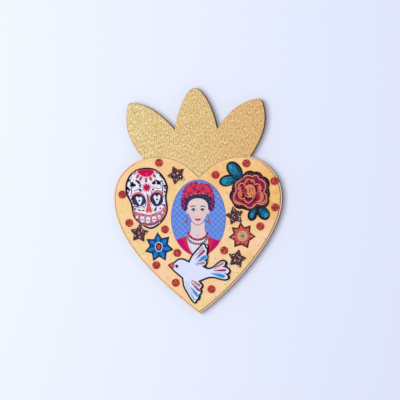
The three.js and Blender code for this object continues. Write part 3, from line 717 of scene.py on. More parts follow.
    skull("nose_stem", 5, "drop_rose", lines=[
        (1.36, [(-39.2, -25.8), (-38.8, -28.2), (-38.5, -31.5)]),
        (0.68, [(-37.2, -27.4), (-37.1, -30), (-36.8, -32.6)],
         [(-40.7, -29.7), (-40.3, -32.6), (-40.9, -35.2)]),
        (0.45, [(-39.5, -37.9), (-39.4, -39.3)], [(-37.2, -37.6), (-37.1, -39.1)]),
    ])
    skull("violet", 3, "violet_ink", ovals=[
        (-54.1, -24.7, 0.6, 0.98), (-53.5, -27, 0.53, 0.68), (-51, -32.5, 0.53, 0.91, 30),
        (-49.7, -35.2, 0.53, 0.76, 30), (-32.7, -35.6, 0.68, 0.45), (-33.9, -34.4, 0.45),
        (-25.6, -29.7, 0.45, 0.91), (-46.7, -34.8, 0.83, 0.45, -20), (-27.6, -33.6, 0.76, 0.6),
        (-29.5, -36.2, 0.76, 0.6), (-42.3, -35.7, 0.53, 0.45), (-26.1, -26.6, 0.38, 0.6),
    ], lines=[
        (0.45, [(-44.4, -34.6), (-42.1, -34.9), (-41.2, -36.8)]),
        (0.38, [(-36, -35.7), (-34.7, -37.8), (-32.7, -38.4)]),
        (0.45, [(-50.6, -31.2), (-49.1, -34.2), (-46.1, -35.6), (-42.9, -34.9)],
         [(-34.8, -34.1), (-31.9, -34.6), (-29, -33.3), (-27.2, -30.8)]),
    ])
    skull("cheek_cream", 4, "petal_cream", ovals=[(-43.2, -36.3, 1.13, 0.76), (-47.1, -35.8, 0.6, 0.45)])
    skull("buds", 4, "maroon_ink", ovals=[
        (-34.4, -17.2, 1.59, 1.28, 10), (-42.4, -37.9, 0.91, 0.53, -20), (-47.9, -34.9, 0.53, 0.45),
        (-45.8, -17.4, 0.76, 0.91, 30),
    ], petals=[
        (-45.5, -18.1, -48.4, -14.7, 1.43), (-44.9, -17.1, -46.7, -15.4, 0.91),
        (-33.7, -18.3, -33.6, -14.6, 1.21), (-36.2, -17.2, -32.7, -16.2, 1.21),
    ])
    skull("black_flowers", 5, "line_black", ovals=[
        (-50.9, -17.5, 1.13, 1.06, 20), (-50.5, -18.8, 0.91), (-30.4, -16.9, 1.13, 1.21),
        (-31.6, -17.6, 0.76), (-45.2, -19.1, 0.6, 0.91, -20), (-44.7, -22.8, 1.13, 0.6, 35),
        (-54.9, -21, 1.06, 1.21), (-49.2, -18.8, 1.06), (-51.9, -19.1, 0.98, 0.76), (-50.5, -19.9, 0.68),
        (-54.5, -21.4, 1.28, 1.13), (-53.2, -22.4, 0.83, 0.76), (-55.4, -19.8, 0.68),
        (-53.7, -15.4, 0.53, 0.68), (-31.1, -16.5, 1.13, 1.28), (-28.6, -15.8, 0.98, 0.6, 15),
        (-30.2, -17.7, 0.91, 0.83), (-32.2, -15.3, 0.68, 0.76), (-26.1, -19.4, 0.98), (-25.7, -21.1, 0.76),
        (-29.5, -11.9, 0.76, 0.6, -40), (-28.3, -13.4, 0.68, 0.45, -40), (-29.9, -10.5, 0.45, 0.38),
        (-26.1, -23.7, 0.53, 0.91), (-48.9, -36.8, 0.83, 0.76), (-45.5, -37.6, 0.76, 0.68, -20),
        (-33.1, -36.9, 0.98, 0.83), (-26.4, -33.8, 0.76), (-40.7, -33.4, 0.45, 0.38),
        (-45.1, -22.5, 0.68, 0.76), (-35, -21.9, 0.76), (-36.3, -33.6, 0.45), (-50.2, -14.9, 0.38, 0.45),
    ], lines=[
        (0.68, [(-53.5, -13.9), (-52.3, -16.5), (-51.8, -20.7), (-51.4, -23.9), (-52.2, -27.4)]),
        (0.53, [(-54.3, -16.8), (-52.8, -15.1), (-51.3, -12.4)]),
        (0.38, [(-54.9, -23.2), (-53.5, -23.4), (-52.2, -22.4)]),
        (0.53, [(-45.3, -16.4), (-44.2, -18.4), (-45.1, -20.9), (-47.6, -22.6), (-50, -23.4)],
         [(-45.5, -22.6), (-44.1, -23.4), (-43, -23.2)]),
        (0.45, [(-35.3, -22.4), (-36.3, -24), (-36.6, -25.5)],
         [(-36.3, -19.4), (-33.7, -20.6), (-30.7, -21.3), (-28.6, -20.9)],
         [(-29, -16.9), (-29.2, -19.1), (-28.3, -20.2)]),
        (0.68, [(-27.8, -16.2), (-27.5, -19.8), (-28, -22.9), (-27.3, -25.5)]),
        (0.38, [(-27.6, -18.1), (-26.3, -17.2)], [(-27.8, -22.2), (-26.3, -22.8)]),
        (0.45, [(-34.7, -38.6), (-33.3, -37.8), (-32.4, -38.6)],
         [(-47.6, -36.4), (-45.3, -37.9), (-42.1, -38.1)]),
        (0.38, [(-31.6, -18.4), (-32.2, -19.8)]),
        (0.53, [(-49.9, -32.6), (-48.5, -34.9), (-46.7, -36.1)]),
    ])


def print_rose():
    """The folk rose: wine petals with coral rims in a dark speckled border, and four blue-green leaves"""
    rose = partial(printed, "rose", "rose_cutout", "rose_paper")
    rose("leaf_blades", 1, "leaf_teal", patches=[
        [(21.7, -4.6), (22.5, -2.9), (24.8, -2.2), (28, -3.4), (30.5, -6), (32.5, -9.1), (33.1, -12),
         (31, -13.8), (27.8, -13.1), (24.6, -11.2), (22.5, -8.2)],
        [(16.5, -16.4), (17.4, -13.9), (20.3, -12.6), (24.4, -12.3), (27.8, -13.4), (28.6, -15.1),
         (26.6, -17.6), (22.9, -18.9), (19, -18.9), (17, -17.9)],
        [(38.5, -41.2), (39.2, -38.7), (41.1, -36.8), (43, -36), (43.5, -37.8), (42.7, -40.4), (41.5, -42.8),
         (40.1, -44.1), (38.9, -43.4)],
        [(45.2, -37.5), (46.4, -36), (49.4, -36), (52, -37.9), (53.2, -40.4), (52.3, -42.4), (49.9, -43.5),
         (47.4, -42.3), (45.9, -40.1)],
    ])
    rose("leaf_sheen", 2, "leaf_green", patches=[
        [(22.2, -4.8), (22.9, -3.4), (24.9, -2.9), (27.3, -3.9), (28.3, -6), (28.7, -9.3), (27.2, -11.1),
         (24.8, -9.9), (22.9, -7.6)],
        [(17, -16.2), (18, -14.4), (20.8, -13.2), (24, -13.1), (25.4, -14.6), (24.4, -16.9), (21.9, -18.1),
         (18.7, -18.1)],
        [(38.8, -41.4), (39.5, -39.3), (40.9, -37.9), (41.7, -39), (41.5, -41.6), (40.4, -43.5),
         (39.4, -42.9)],
        [(47.8, -40.1), (49.3, -38.1), (51.6, -38.7), (52.6, -40.5), (51.7, -42.3), (49.6, -42.9),
         (48.1, -42)],
    ])
    rose("leaf_lights", 3, "leaf_cyan", patches=[
        [(22.6, -4.9), (23.4, -3.8), (24.8, -3.6), (25.1, -5.2), (24.6, -7.2), (23.4, -6.6)],
        [(17.4, -16.2), (18.4, -14.7), (20.5, -13.8), (21.1, -15.4), (20.2, -17.6), (18.2, -17.4)],
        [(39.1, -41.6), (39.7, -39.8), (40.6, -39.8), (40.7, -41.6), (40.1, -43.2), (39.4, -42.8)],
        [(49.9, -40.9), (51.3, -39.9), (52, -40.9), (51.1, -42.1), (49.7, -42.3)],
    ])
    rose("leaf_veins", 4, "leaf_pale", lines=[
        (0.24, [(22.8, -3.9), (25.5, -6.4), (28.3, -9), (31, -12)]),
        (0.21, [(25.1, -3.8), (28.3, -7.2), (30.8, -10.5)], [(23.2, -7.1), (26.1, -9.9), (29, -12)]),
        (0.26, [(17.6, -14.6), (20.6, -13.2), (24.8, -12.9)]),
        (0.21, [(17.9, -16.1), (22.2, -15.3), (26.4, -15)]),
        (0.26, [(17.7, -17.9), (21.4, -18.3), (24.4, -18)]),
        (0.23, [(40.1, -43.4), (41.4, -40.2), (42.7, -37.2)], [(46.1, -37.1), (49, -39.8), (51.6, -42.1)]),
        (0.3, [(52.6, -40.2), (51.7, -42.4), (49.4, -43.1)]),
        (0.23, [(47, -40.2), (48.4, -42)]),
    ])
    rose("border", 1, "border_wine", patches=[
        [(33.3, -12.4), (34.8, -10.4), (37.4, -9.3), (40.1, -9.3), (42.7, -10.4), (45.8, -10.5), (48.1, -12),
         (49.4, -14.2), (51.6, -16.2), (52.6, -19.1), (52.6, -22.5), (53.1, -25.5), (53.2, -29.2),
         (52.5, -32.7), (50.5, -34.8), (47, -34.6), (44.2, -34.5), (42.4, -36.1), (39.4, -37.2),
         (35.9, -36.3), (33.6, -35.1), (30.2, -34.8), (26.7, -33.6), (24.8, -31.1), (24.4, -27.4),
         (25.5, -24), (26.1, -21), (26.6, -17.7), (29, -15.3)],
    ])
    rose("petals", 2, "petal_wine", patches=[
        [(33.6, -14.1), (34.7, -12.4), (36.6, -11.7), (38.9, -11.7), (40.4, -12.3), (42.3, -11.6),
         (44.6, -12), (45.8, -13.9), (47.8, -14.7), (49.6, -16.5), (50.6, -19.2), (50.5, -21.9), (49.6, -24),
         (50.6, -25.8), (51.4, -28.6), (51, -31.5), (49, -33), (46.2, -33.1), (43.8, -32.6), (42.4, -33.9),
         (40.4, -35.6), (38.2, -36), (36, -34.8), (34, -33.4), (31, -33.1), (28.3, -32.6), (26.7, -30.6),
         (26.4, -27.8), (27, -25.5), (28.3, -23.6), (28.3, -21.3), (27.8, -19.2), (28.7, -17.1),
         (30.8, -15.6)],
    ])
    rose("brick", 3, "petal_brick", lines=[
        (1.13, [(29.8, -17.7), (29.5, -20.7), (29.9, -22.6)]),
        (0.98, [(28.3, -25.1), (27.8, -28.1), (28.7, -30.3)]),
        (0.91, [(36.9, -13.1), (39.4, -12.9)]),
        (0.98, [(48.7, -17.6), (49.4, -20.4), (48.5, -22.8)]),
        (0.83, [(42.4, -32.4), (40, -34.4)]),
        (0.91, [(50, -27.8), (49.9, -30.6), (47.8, -31.9)]),
    ])
    rose("deep_folds", 3, "petal_deep", lines=[
        (1.06, [(31.8, -16.5), (33.6, -15.8), (34.8, -13.9)], [(36.3, -13.2), (38.6, -13.1), (40.4, -13.8)]),
        (1.21, [(42.7, -17.2), (44.6, -16.8), (46.4, -17.6)]),
        (0.98, [(47.9, -20.6), (47.9, -22.8), (49.1, -24.3)]),
        (1.13, [(42.6, -29.7), (40.9, -31.5), (38.9, -33.3)]),
        (1.06, [(35.6, -32.9), (33.1, -31.2), (30.8, -30.6)]),
        (1.21, [(29.2, -29.7), (29.2, -27), (30.2, -24.3)]),
        (0.83, [(29.8, -22.1), (29, -20.1), (29.6, -18)]),
        (0.91, [(43.2, -19.9), (43.8, -22.2), (43.5, -24.4)]),
        (0.76, [(48.5, -30.9), (49.7, -28.9), (49.6, -26.2)]),
    ])
    rose("magenta", 3, "petal_magenta", ovals=[
        (43.9, -14.4, 1.51, 1.66, 20), (48.5, -18.3, 0.91, 1.66, 25), (49.4, -21, 0.53, 1.36, 5),
        (44.2, -27.3, 1.66, 2.27, 10), (38.6, -34.4, 1.96, 0.76), (28.4, -27.4, 0.68, 1.66, 8),
    ])
    rose("outer_orange", 3, "petal_orange", lines=[
        (0.91, [(28, -30.9), (30.1, -31.8), (32.8, -32.2)]),
        (0.76, [(44.7, -32.2), (46.8, -32.4), (48.8, -31.8)]),
        (0.68, [(28.7, -18.3), (29.5, -16.9)]),
        (0.6, [(27.6, -25.2), (27.2, -27.4)], [(35, -13.6), (36.2, -12.8)]),
    ])
    rose("inner_petals", 4, "petal_rose", ovals=[
        (38.6, -16.6, 2.94, 2.27), (44.4, -20.7, 2.42, 2.72, 15), (45.5, -27.4, 3.02, 3.77, 10),
        (38.1, -29.7, 3.17, 2.42), (33, -26.1, 2.72, 3.02, 10), (32.7, -20.1, 2.49, 2.72),
    ])
    rose("inner_deep", 5, "petal_deep", ovals=[
        (40, -17.7, 1.96, 1.06, 15), (36.5, -18.1, 1.36, 0.83, -20), (43.2, -21.4, 1.06, 2.57, 5),
        (43, -28.2, 1.36, 2.57, 18), (38, -29.4, 2.42, 1.74), (40.9, -28.9, 1.21, 1.51, 30),
        (35.3, -28.5, 1.06, 1.21), (33.6, -26.6, 1.21, 1.66), (33.7, -21.3, 0.98, 0.91),
        (33.9, -23.6, 0.68, 0.91),
    ])
    rose("inner_magenta", 6, "petal_magenta", ovals=[
        (38.2, -16.1, 1.28), (44.2, -27.6, 1.43, 1.96, 10), (32.8, -19.1, 1.51, 1.21, 10),
        (37.5, -30.4, 1.21, 0.6), (45, -19.2, 0.76, 0.6),
    ])
    rose("inner_orange", 6, "petal_orange", ovals=[
        (47.4, -27.4, 1.13, 2.87, 6), (45.8, -20.7, 1.06, 1.96, 12), (31.8, -25.6, 1.13, 2.11, 10),
        (40.3, -16.1, 0.76, 1.06, 20), (31.3, -20.7, 0.76, 0.91), (46.4, -30.3, 1.51, 0.68, 20),
        (36.9, -15.8, 0.45, 0.91, -10),
    ])
    rose("middle", 7, "petal_gold", patches=[
        [(35.4, -20.4), (36.8, -18.8), (38.9, -18.4), (40.9, -19.5), (42.3, -21.8), (42.4, -24.3),
         (41.7, -26.4), (40.6, -27.6), (39.7, -28.1), (38.6, -27.9), (37.5, -27.6), (35.9, -26.6),
         (34.8, -24.3), (34.7, -22.2)],
    ])
    rose("middle_glow", 8, "petal_orange", lines=[
        (0.98, [(40, -20.7), (40.1, -23.2), (39.2, -25.9)]),
        (0.76, [(41.4, -23.4), (41.2, -26.2), (40.3, -28.4)]),
        (0.68, [(37.5, -20.2), (37.9, -22.5), (37.2, -25.1)]),
    ])
    rose("middle_folds", 9, "petal_wine", ovals=[
        (36.8, -26.6, 1.21, 0.68, -35),
    ], lines=[
        (0.76, [(38, -19.8), (38.7, -21.8), (38.6, -23.9), (37.9, -25.5)],
         [(39.7, -19.5), (40.5, -21.3), (40.8, -23.4)]),
        (0.53, [(41.4, -21.3), (41.8, -23.2), (41.4, -25.2)]),
        (0.6, [(39.6, -24.3), (40, -25.9), (39.5, -27.4)]),
        (0.38, [(36.9, -19.8), (37.3, -21.3)]),
    ])
    rose("middle_petal", 10, "petal_rose", patches=[
        [(34, -21.8), (35.1, -20.7), (36.3, -21.8), (36.7, -24.1), (36.3, -26.1), (35.1, -26.4),
         (34.1, -24.6)],
    ])
    rose("outer_lights", 4, "petal_gold", lines=[
        (0.98, [(27.5, -30.4), (29.3, -31.8), (31.8, -32.2)]),
        (0.68, [(47, -32.1), (49.1, -31.5), (50, -30)]),
        (0.53, [(40.7, -34.5), (42, -33)]),
    ])
    rose("middle_pits", 11, "petal_deep", ovals=[
        (35.3, -22.9, 0.45, 0.76, -10),
    ], lines=[
        (0.38, [(34.7, -24.4), (35.4, -25.5), (36.2, -25.8)]),
    ])
    rose("rims", 10, "rose_coral", lines=[
        (0.72, [(33.6, -14.1), (34.7, -12.4), (36.6, -11.7), (38.9, -11.8), (40.4, -12.4), (42.3, -11.6),
          (44.6, -12.1), (45.6, -14.1), (47.8, -14.9), (49.6, -16.5), (50.6, -19.2), (50.3, -21.9),
          (49.4, -23.9), (49.9, -24.9), (51, -26.2), (51.3, -28.8), (50.9, -31.5), (49, -33), (46.2, -33.1),
          (43.8, -32.6), (42.4, -33.9), (40.4, -35.5), (38.2, -35.9), (36, -34.8), (34, -33.4), (31, -33.1),
          (28.3, -32.6), (26.7, -30.6), (26.4, -27.8), (27, -25.5), (28.3, -23.6), (28.3, -21.3),
          (27.8, -19.2), (28.7, -17.1), (30.8, -15.6), (33.3, -14.2)]),
        (0.6, [(35, -18.6), (35.4, -16.1), (36.6, -14.6), (38.5, -14.4), (39.8, -15.3), (41.1, -14.9),
          (42.1, -16.4), (42.3, -18.3), (43.9, -17.9), (45.8, -18.4), (47, -20.4), (47.2, -22.1),
          (46.1, -23.1)]),
        (0.64, [(45, -23.9), (46.5, -23.8), (48.1, -25.1), (48.7, -27.4), (48.3, -29.7), (46.5, -31.1),
          (43.8, -31.1)],
         [(34.8, -28.2), (34.7, -29.9), (35.7, -31.2), (37.9, -32.1), (39.4, -31.1), (41.1, -29.2),
          (42.3, -27), (42.7, -24.4), (42.4, -21.9), (41.1, -19.6), (39.1, -18.4)]),
        (0.6, [(34.5, -28.5), (32.7, -29.2), (31, -28.1), (30, -25.9), (30.5, -24.1), (32.1, -22.8),
          (30.7, -22.1), (30, -20.4), (30.7, -18.6), (32.7, -17.4), (34.5, -18.3), (35.3, -19.5)]),
        (0.53, [(36.5, -19.4), (34.7, -21), (34.1, -23.2), (34.8, -25.8), (36.3, -27.3), (38, -27.9),
          (39.2, -27.1)]),
        (0.34, [(34.8, -21.1), (35.9, -20.9), (36.7, -22.5), (36.9, -24.8), (36.2, -26.2)],
         [(39.1, -19.2), (39.8, -21), (39.8, -23.6)]),
    ])
    rose("specks", 2, "speck_rose", ovals=[
        (35.3, -10.8, 0.3, 0.21), (36.9, -10, 0.32, 0.21), (38.8, -10.3, 0.3, 0.23),
        (40.6, -10.2, 0.32, 0.21), (42.4, -10.7, 0.3, 0.21), (45.9, -11.2, 0.32, 0.21),
        (47.1, -12.3, 0.29, 0.23), (47.9, -13.5, 0.3, 0.21), (49.7, -14.9, 0.29, 0.23),
        (50.8, -15.9, 0.3, 0.21), (51.3, -17.6, 0.23, 0.3), (52.1, -18.9, 0.23, 0.32),
        (51.6, -20.6, 0.23, 0.3), (52.2, -22.1, 0.23, 0.32), (51.6, -23.7, 0.23, 0.3),
        (52.2, -25.2, 0.23, 0.3), (52.2, -27.1, 0.23, 0.32), (52.6, -28.9, 0.23, 0.3),
        (52.2, -30.8, 0.23, 0.32), (51.8, -32.6, 0.26), (50.2, -34, 0.3, 0.21), (48.1, -34.1, 0.3, 0.21),
        (45.9, -34.1, 0.3, 0.21), (43.5, -34.4, 0.26, 0.23), (42, -35.7, 0.29, 0.23),
        (39.7, -36.7, 0.32, 0.21), (37.2, -36.4, 0.3, 0.21), (35, -35, 0.3, 0.23), (32.8, -34.5, 0.32, 0.21),
        (30.5, -34.3, 0.3, 0.21), (28.3, -33.8, 0.3, 0.21), (26.4, -32.7, 0.29, 0.24),
        (25.4, -30.9, 0.23, 0.3), (25.1, -28.8, 0.23, 0.32), (25.3, -26.7, 0.23, 0.3),
        (26.1, -24.8, 0.24, 0.29), (27, -22.8, 0.23, 0.3), (26.7, -20.6, 0.23, 0.32),
        (26.9, -18.4, 0.24, 0.29), (28.3, -16.4, 0.27, 0.24), (30.2, -15, 0.3, 0.23),
        (32.1, -13.9, 0.29, 0.24),
    ])


def print_dove():
    """The dove: a pale body in a dark rim, with coloured feathers in its wings and tail"""
    ground("dove_white", "dove_cutout", "dove_white", margin=1.2)
    dove = partial(printed, "dove", "dove_cutout", "dove_paper")
    dove("beak", 2, "beak_rose", patches=[
        [(-22.3, -79), (-20.8, -77.8), (-18.7, -77.6), (-18.5, -79.5), (-19.3, -81.3), (-20.8, -80.4)],
    ])
    dove("eye_ring", 2, "feather_tan", ovals=[(-16.8, -79.8, 1.36, 1.51)])
    dove("eye", 3, "line_black", ovals=[(-16.8, -79.7, 0.98, 1.02)])
    dove("tan_feathers", 2, "feather_tan", petals=[
        (-2.5, -72.5, 3.9, -64.9, 1.28), (-7.3, -98, -3, -105.5, 1.13),
    ])
    dove("salmon_feathers", 2, "feather_salmon", petals=[
        (-3.3, -78.5, 5, -76.7, 1.66), (10.6, -82, 19.3, -76.6, 1.96), (-5.9, -89.7, 1.3, -95, 1.81),
    ])
    dove("crimson_feathers", 2, "feather_crimson", petals=[
        (-2.7, -75, 5.1, -67.2, 1.66), (10.4, -83, 21.4, -82.5, 1.66), (-6.5, -91.2, 0.7, -98.4, 1.74),
    ])
    dove("blue_halos", 2, "feather_sky", petals=[
        (-2.5, -77.2, 6.5, -71.7, 3.7), (7.7, -84.5, 20.8, -87.8, 3.25), (-7.4, -93.6, 0, -103.2, 2.79),
    ])
    dove("blue_feathers", 3, "feather_blue", petals=[
        (-1.1, -76.5, 6, -71.9, 2.79), (9.2, -84.9, 20.2, -87.5, 2.34), (-6.2, -95.5, -0.5, -102.5, 1.96),
    ])
    dove("notches", 4, "line_black", lines=[
        (0.98, [(21.6, -79.5), (19.9, -79.8), (18.2, -80.2)]),
        (0.68, [(23.7, -85.6), (21.4, -85.4), (19.4, -84.9)]),
        (0.6, [(7.5, -75.3), (6.3, -75.1), (5.1, -75.5)], [(8, -70.1), (6.6, -69.9), (5.4, -70.2)],
         [(6.3, -80), (4.6, -79.8), (2.8, -79.5)]),
        (0.53, [(2.2, -93.3), (1.3, -93.1), (0.4, -93.5)], [(1.8, -98), (0.8, -97.8), (-0.1, -98.1)]),
    ])
    dove("rim_thick", 4, "line_black", lines=[
        (0.83, [(5.9, -62.7), (7.1, -64.6), (7.2, -67.1), (7.1, -69.4)]),
        (1.13, [(16.4, -75.3), (19.3, -75.5), (21.1, -76.8), (21.2, -78.8)]),
        (0.83, [(23.2, -81.5), (24, -83.1), (23.4, -85.2)], [(23.4, -86.5), (22.9, -89), (20.6, -89.9)]),
        (0.91, [(2.1, -94.5), (1.9, -96.8), (0.7, -99)], [(0.4, -101), (-0.5, -104), (-2.5, -106.5)]),
    ])
    dove("feather_lines", 3, "feather_grey", lines=[
        (0.34, [(-5.6, -74.7), (-2.2, -69.8), (3.1, -64.2)]),
        (0.3, [(-3.4, -75), (0.1, -70.9), (4.3, -66.3)], [(-3, -77.5), (0.8, -77.2), (5.4, -75.6)],
         [(-2.2, -79.2), (1.6, -78.6), (5.4, -77.5)], [(11, -81), (14.5, -78.6), (18.7, -76)],
         [(12.3, -82), (16.1, -80.7), (19.6, -78.8)], [(11.5, -84), (16.8, -84.5), (21.4, -84)]),
        (0.34, [(-9.7, -90.5), (-9.5, -94.2), (-7.1, -99)]),
        (0.3, [(-8.1, -91.5), (-7.2, -96), (-4.2, -101)], [(-4.8, -89.9), (-1, -92.1), (1.6, -93.5)],
         [(-6, -90.5), (-2.5, -95.1), (1.1, -97)]),
    ])


def print_star_flowers():
    """The two seven-pointed star flowers, each with lines from its notches and a round middle"""
    ground("blue_star_petals", "blue_star_flower", "star_blue", margin=1.1)
    blue_star = partial(printed, "blue_star", "blue_star_flower", "blue_flower_paper")
    blue_star("lines", 3, "line_navy", lines=[
        (0.76, *spokes((-30.5, -65.5), (-30.5, -72.8), (-35.9, -69.7), (-37.3, -64.1), (-33.9, -58.9),
         (-28.2, -58.8), (-23.3, -63.8), (-25.1, -69.4))),
    ])
    blue_star("lights", 2, "star_azure", petals=[
        (-30.7, -63, -31.3, -57, 2.27), (-28.9, -64.1, -25.1, -59.7, 2.11), (-28.1, -66, -22, -66.9, 2.27),
        (-29.2, -67.5, -26.7, -73.5, 2.27), (-31.6, -67.5, -34.2, -73.5, 2.11),
        (-32.7, -66.1, -38.6, -67.8, 2.11), (-32.5, -64.1, -36.9, -60.8, 2.11),
    ])
    blue_star("ring", 4, "star_pale", ovals=[(-30.6, -65.2, 2.94, 3.7)])
    blue_star("middle", 5, "middle_wine", ovals=[(-30.6, -65.2, 2.42, 3.1)])
    blue_star("seed", 6, "middle_red", ovals=[(-30.6, -65.3, 1.28, 1.89)])
    ground("red_star_petals", "red_star_flower", "star_coral", margin=1.1)
    red_star = partial(printed, "red_star", "red_star_flower", "red_flower_paper")
    red_star("lights", 2, "star_ember", petals=[
        (33.1, -55.5, 31.9, -49.2, 1.96), (31.8, -55.9, 27.2, -51.8, 1.96), (31.3, -57.3, 24.6, -57.8, 1.96),
        (32.1, -58.5, 28.6, -62.9, 2.11), (34, -58.5, 36.6, -62.7, 2.11), (35, -57.1, 41.4, -57, 1.96),
        (34.2, -55.9, 37.9, -51.6, 1.96),
    ])
    red_star("lines", 3, "star_peach", lines=[
        (0.42, *spokes((33.1, -56.9), (33.3, -62.7), (27.6, -59.9), (27.2, -54.8), (29.9, -51.4), (34.7, -51),
         (38.9, -54.3), (38.2, -60.1))),
    ])
    red_star("ring", 4, "star_peach", ovals=[(33.1, -56.9, 4)])
    red_star("middle", 5, "middle_gold", ovals=[(33.1, -56.9, 3.62)])
    red_star("seed", 6, "middle_rust", ovals=[
        (33.1, -56.9, 1.13), (33.1, -54.9, 0.38), (34.4, -55.5, 0.38), (35, -56.9, 0.38), (34.4, -58.2, 0.38),
        (33.1, -58.8, 0.38), (31.7, -58.2, 0.38), (31.1, -56.9, 0.38), (31.7, -55.5, 0.38),
        (33.1, -53.8, 0.3), (34.7, -54.1, 0.3), (35.8, -55.4, 0.3), (36.2, -56.9, 0.3), (35.8, -58.4, 0.3),
        (34.7, -59.6, 0.3), (33.1, -59.9, 0.3), (31.5, -59.6, 0.3), (30.3, -58.4, 0.3), (29.9, -56.9, 0.3),
        (30.3, -55.4, 0.3), (31.5, -54.1, 0.3),
    ])


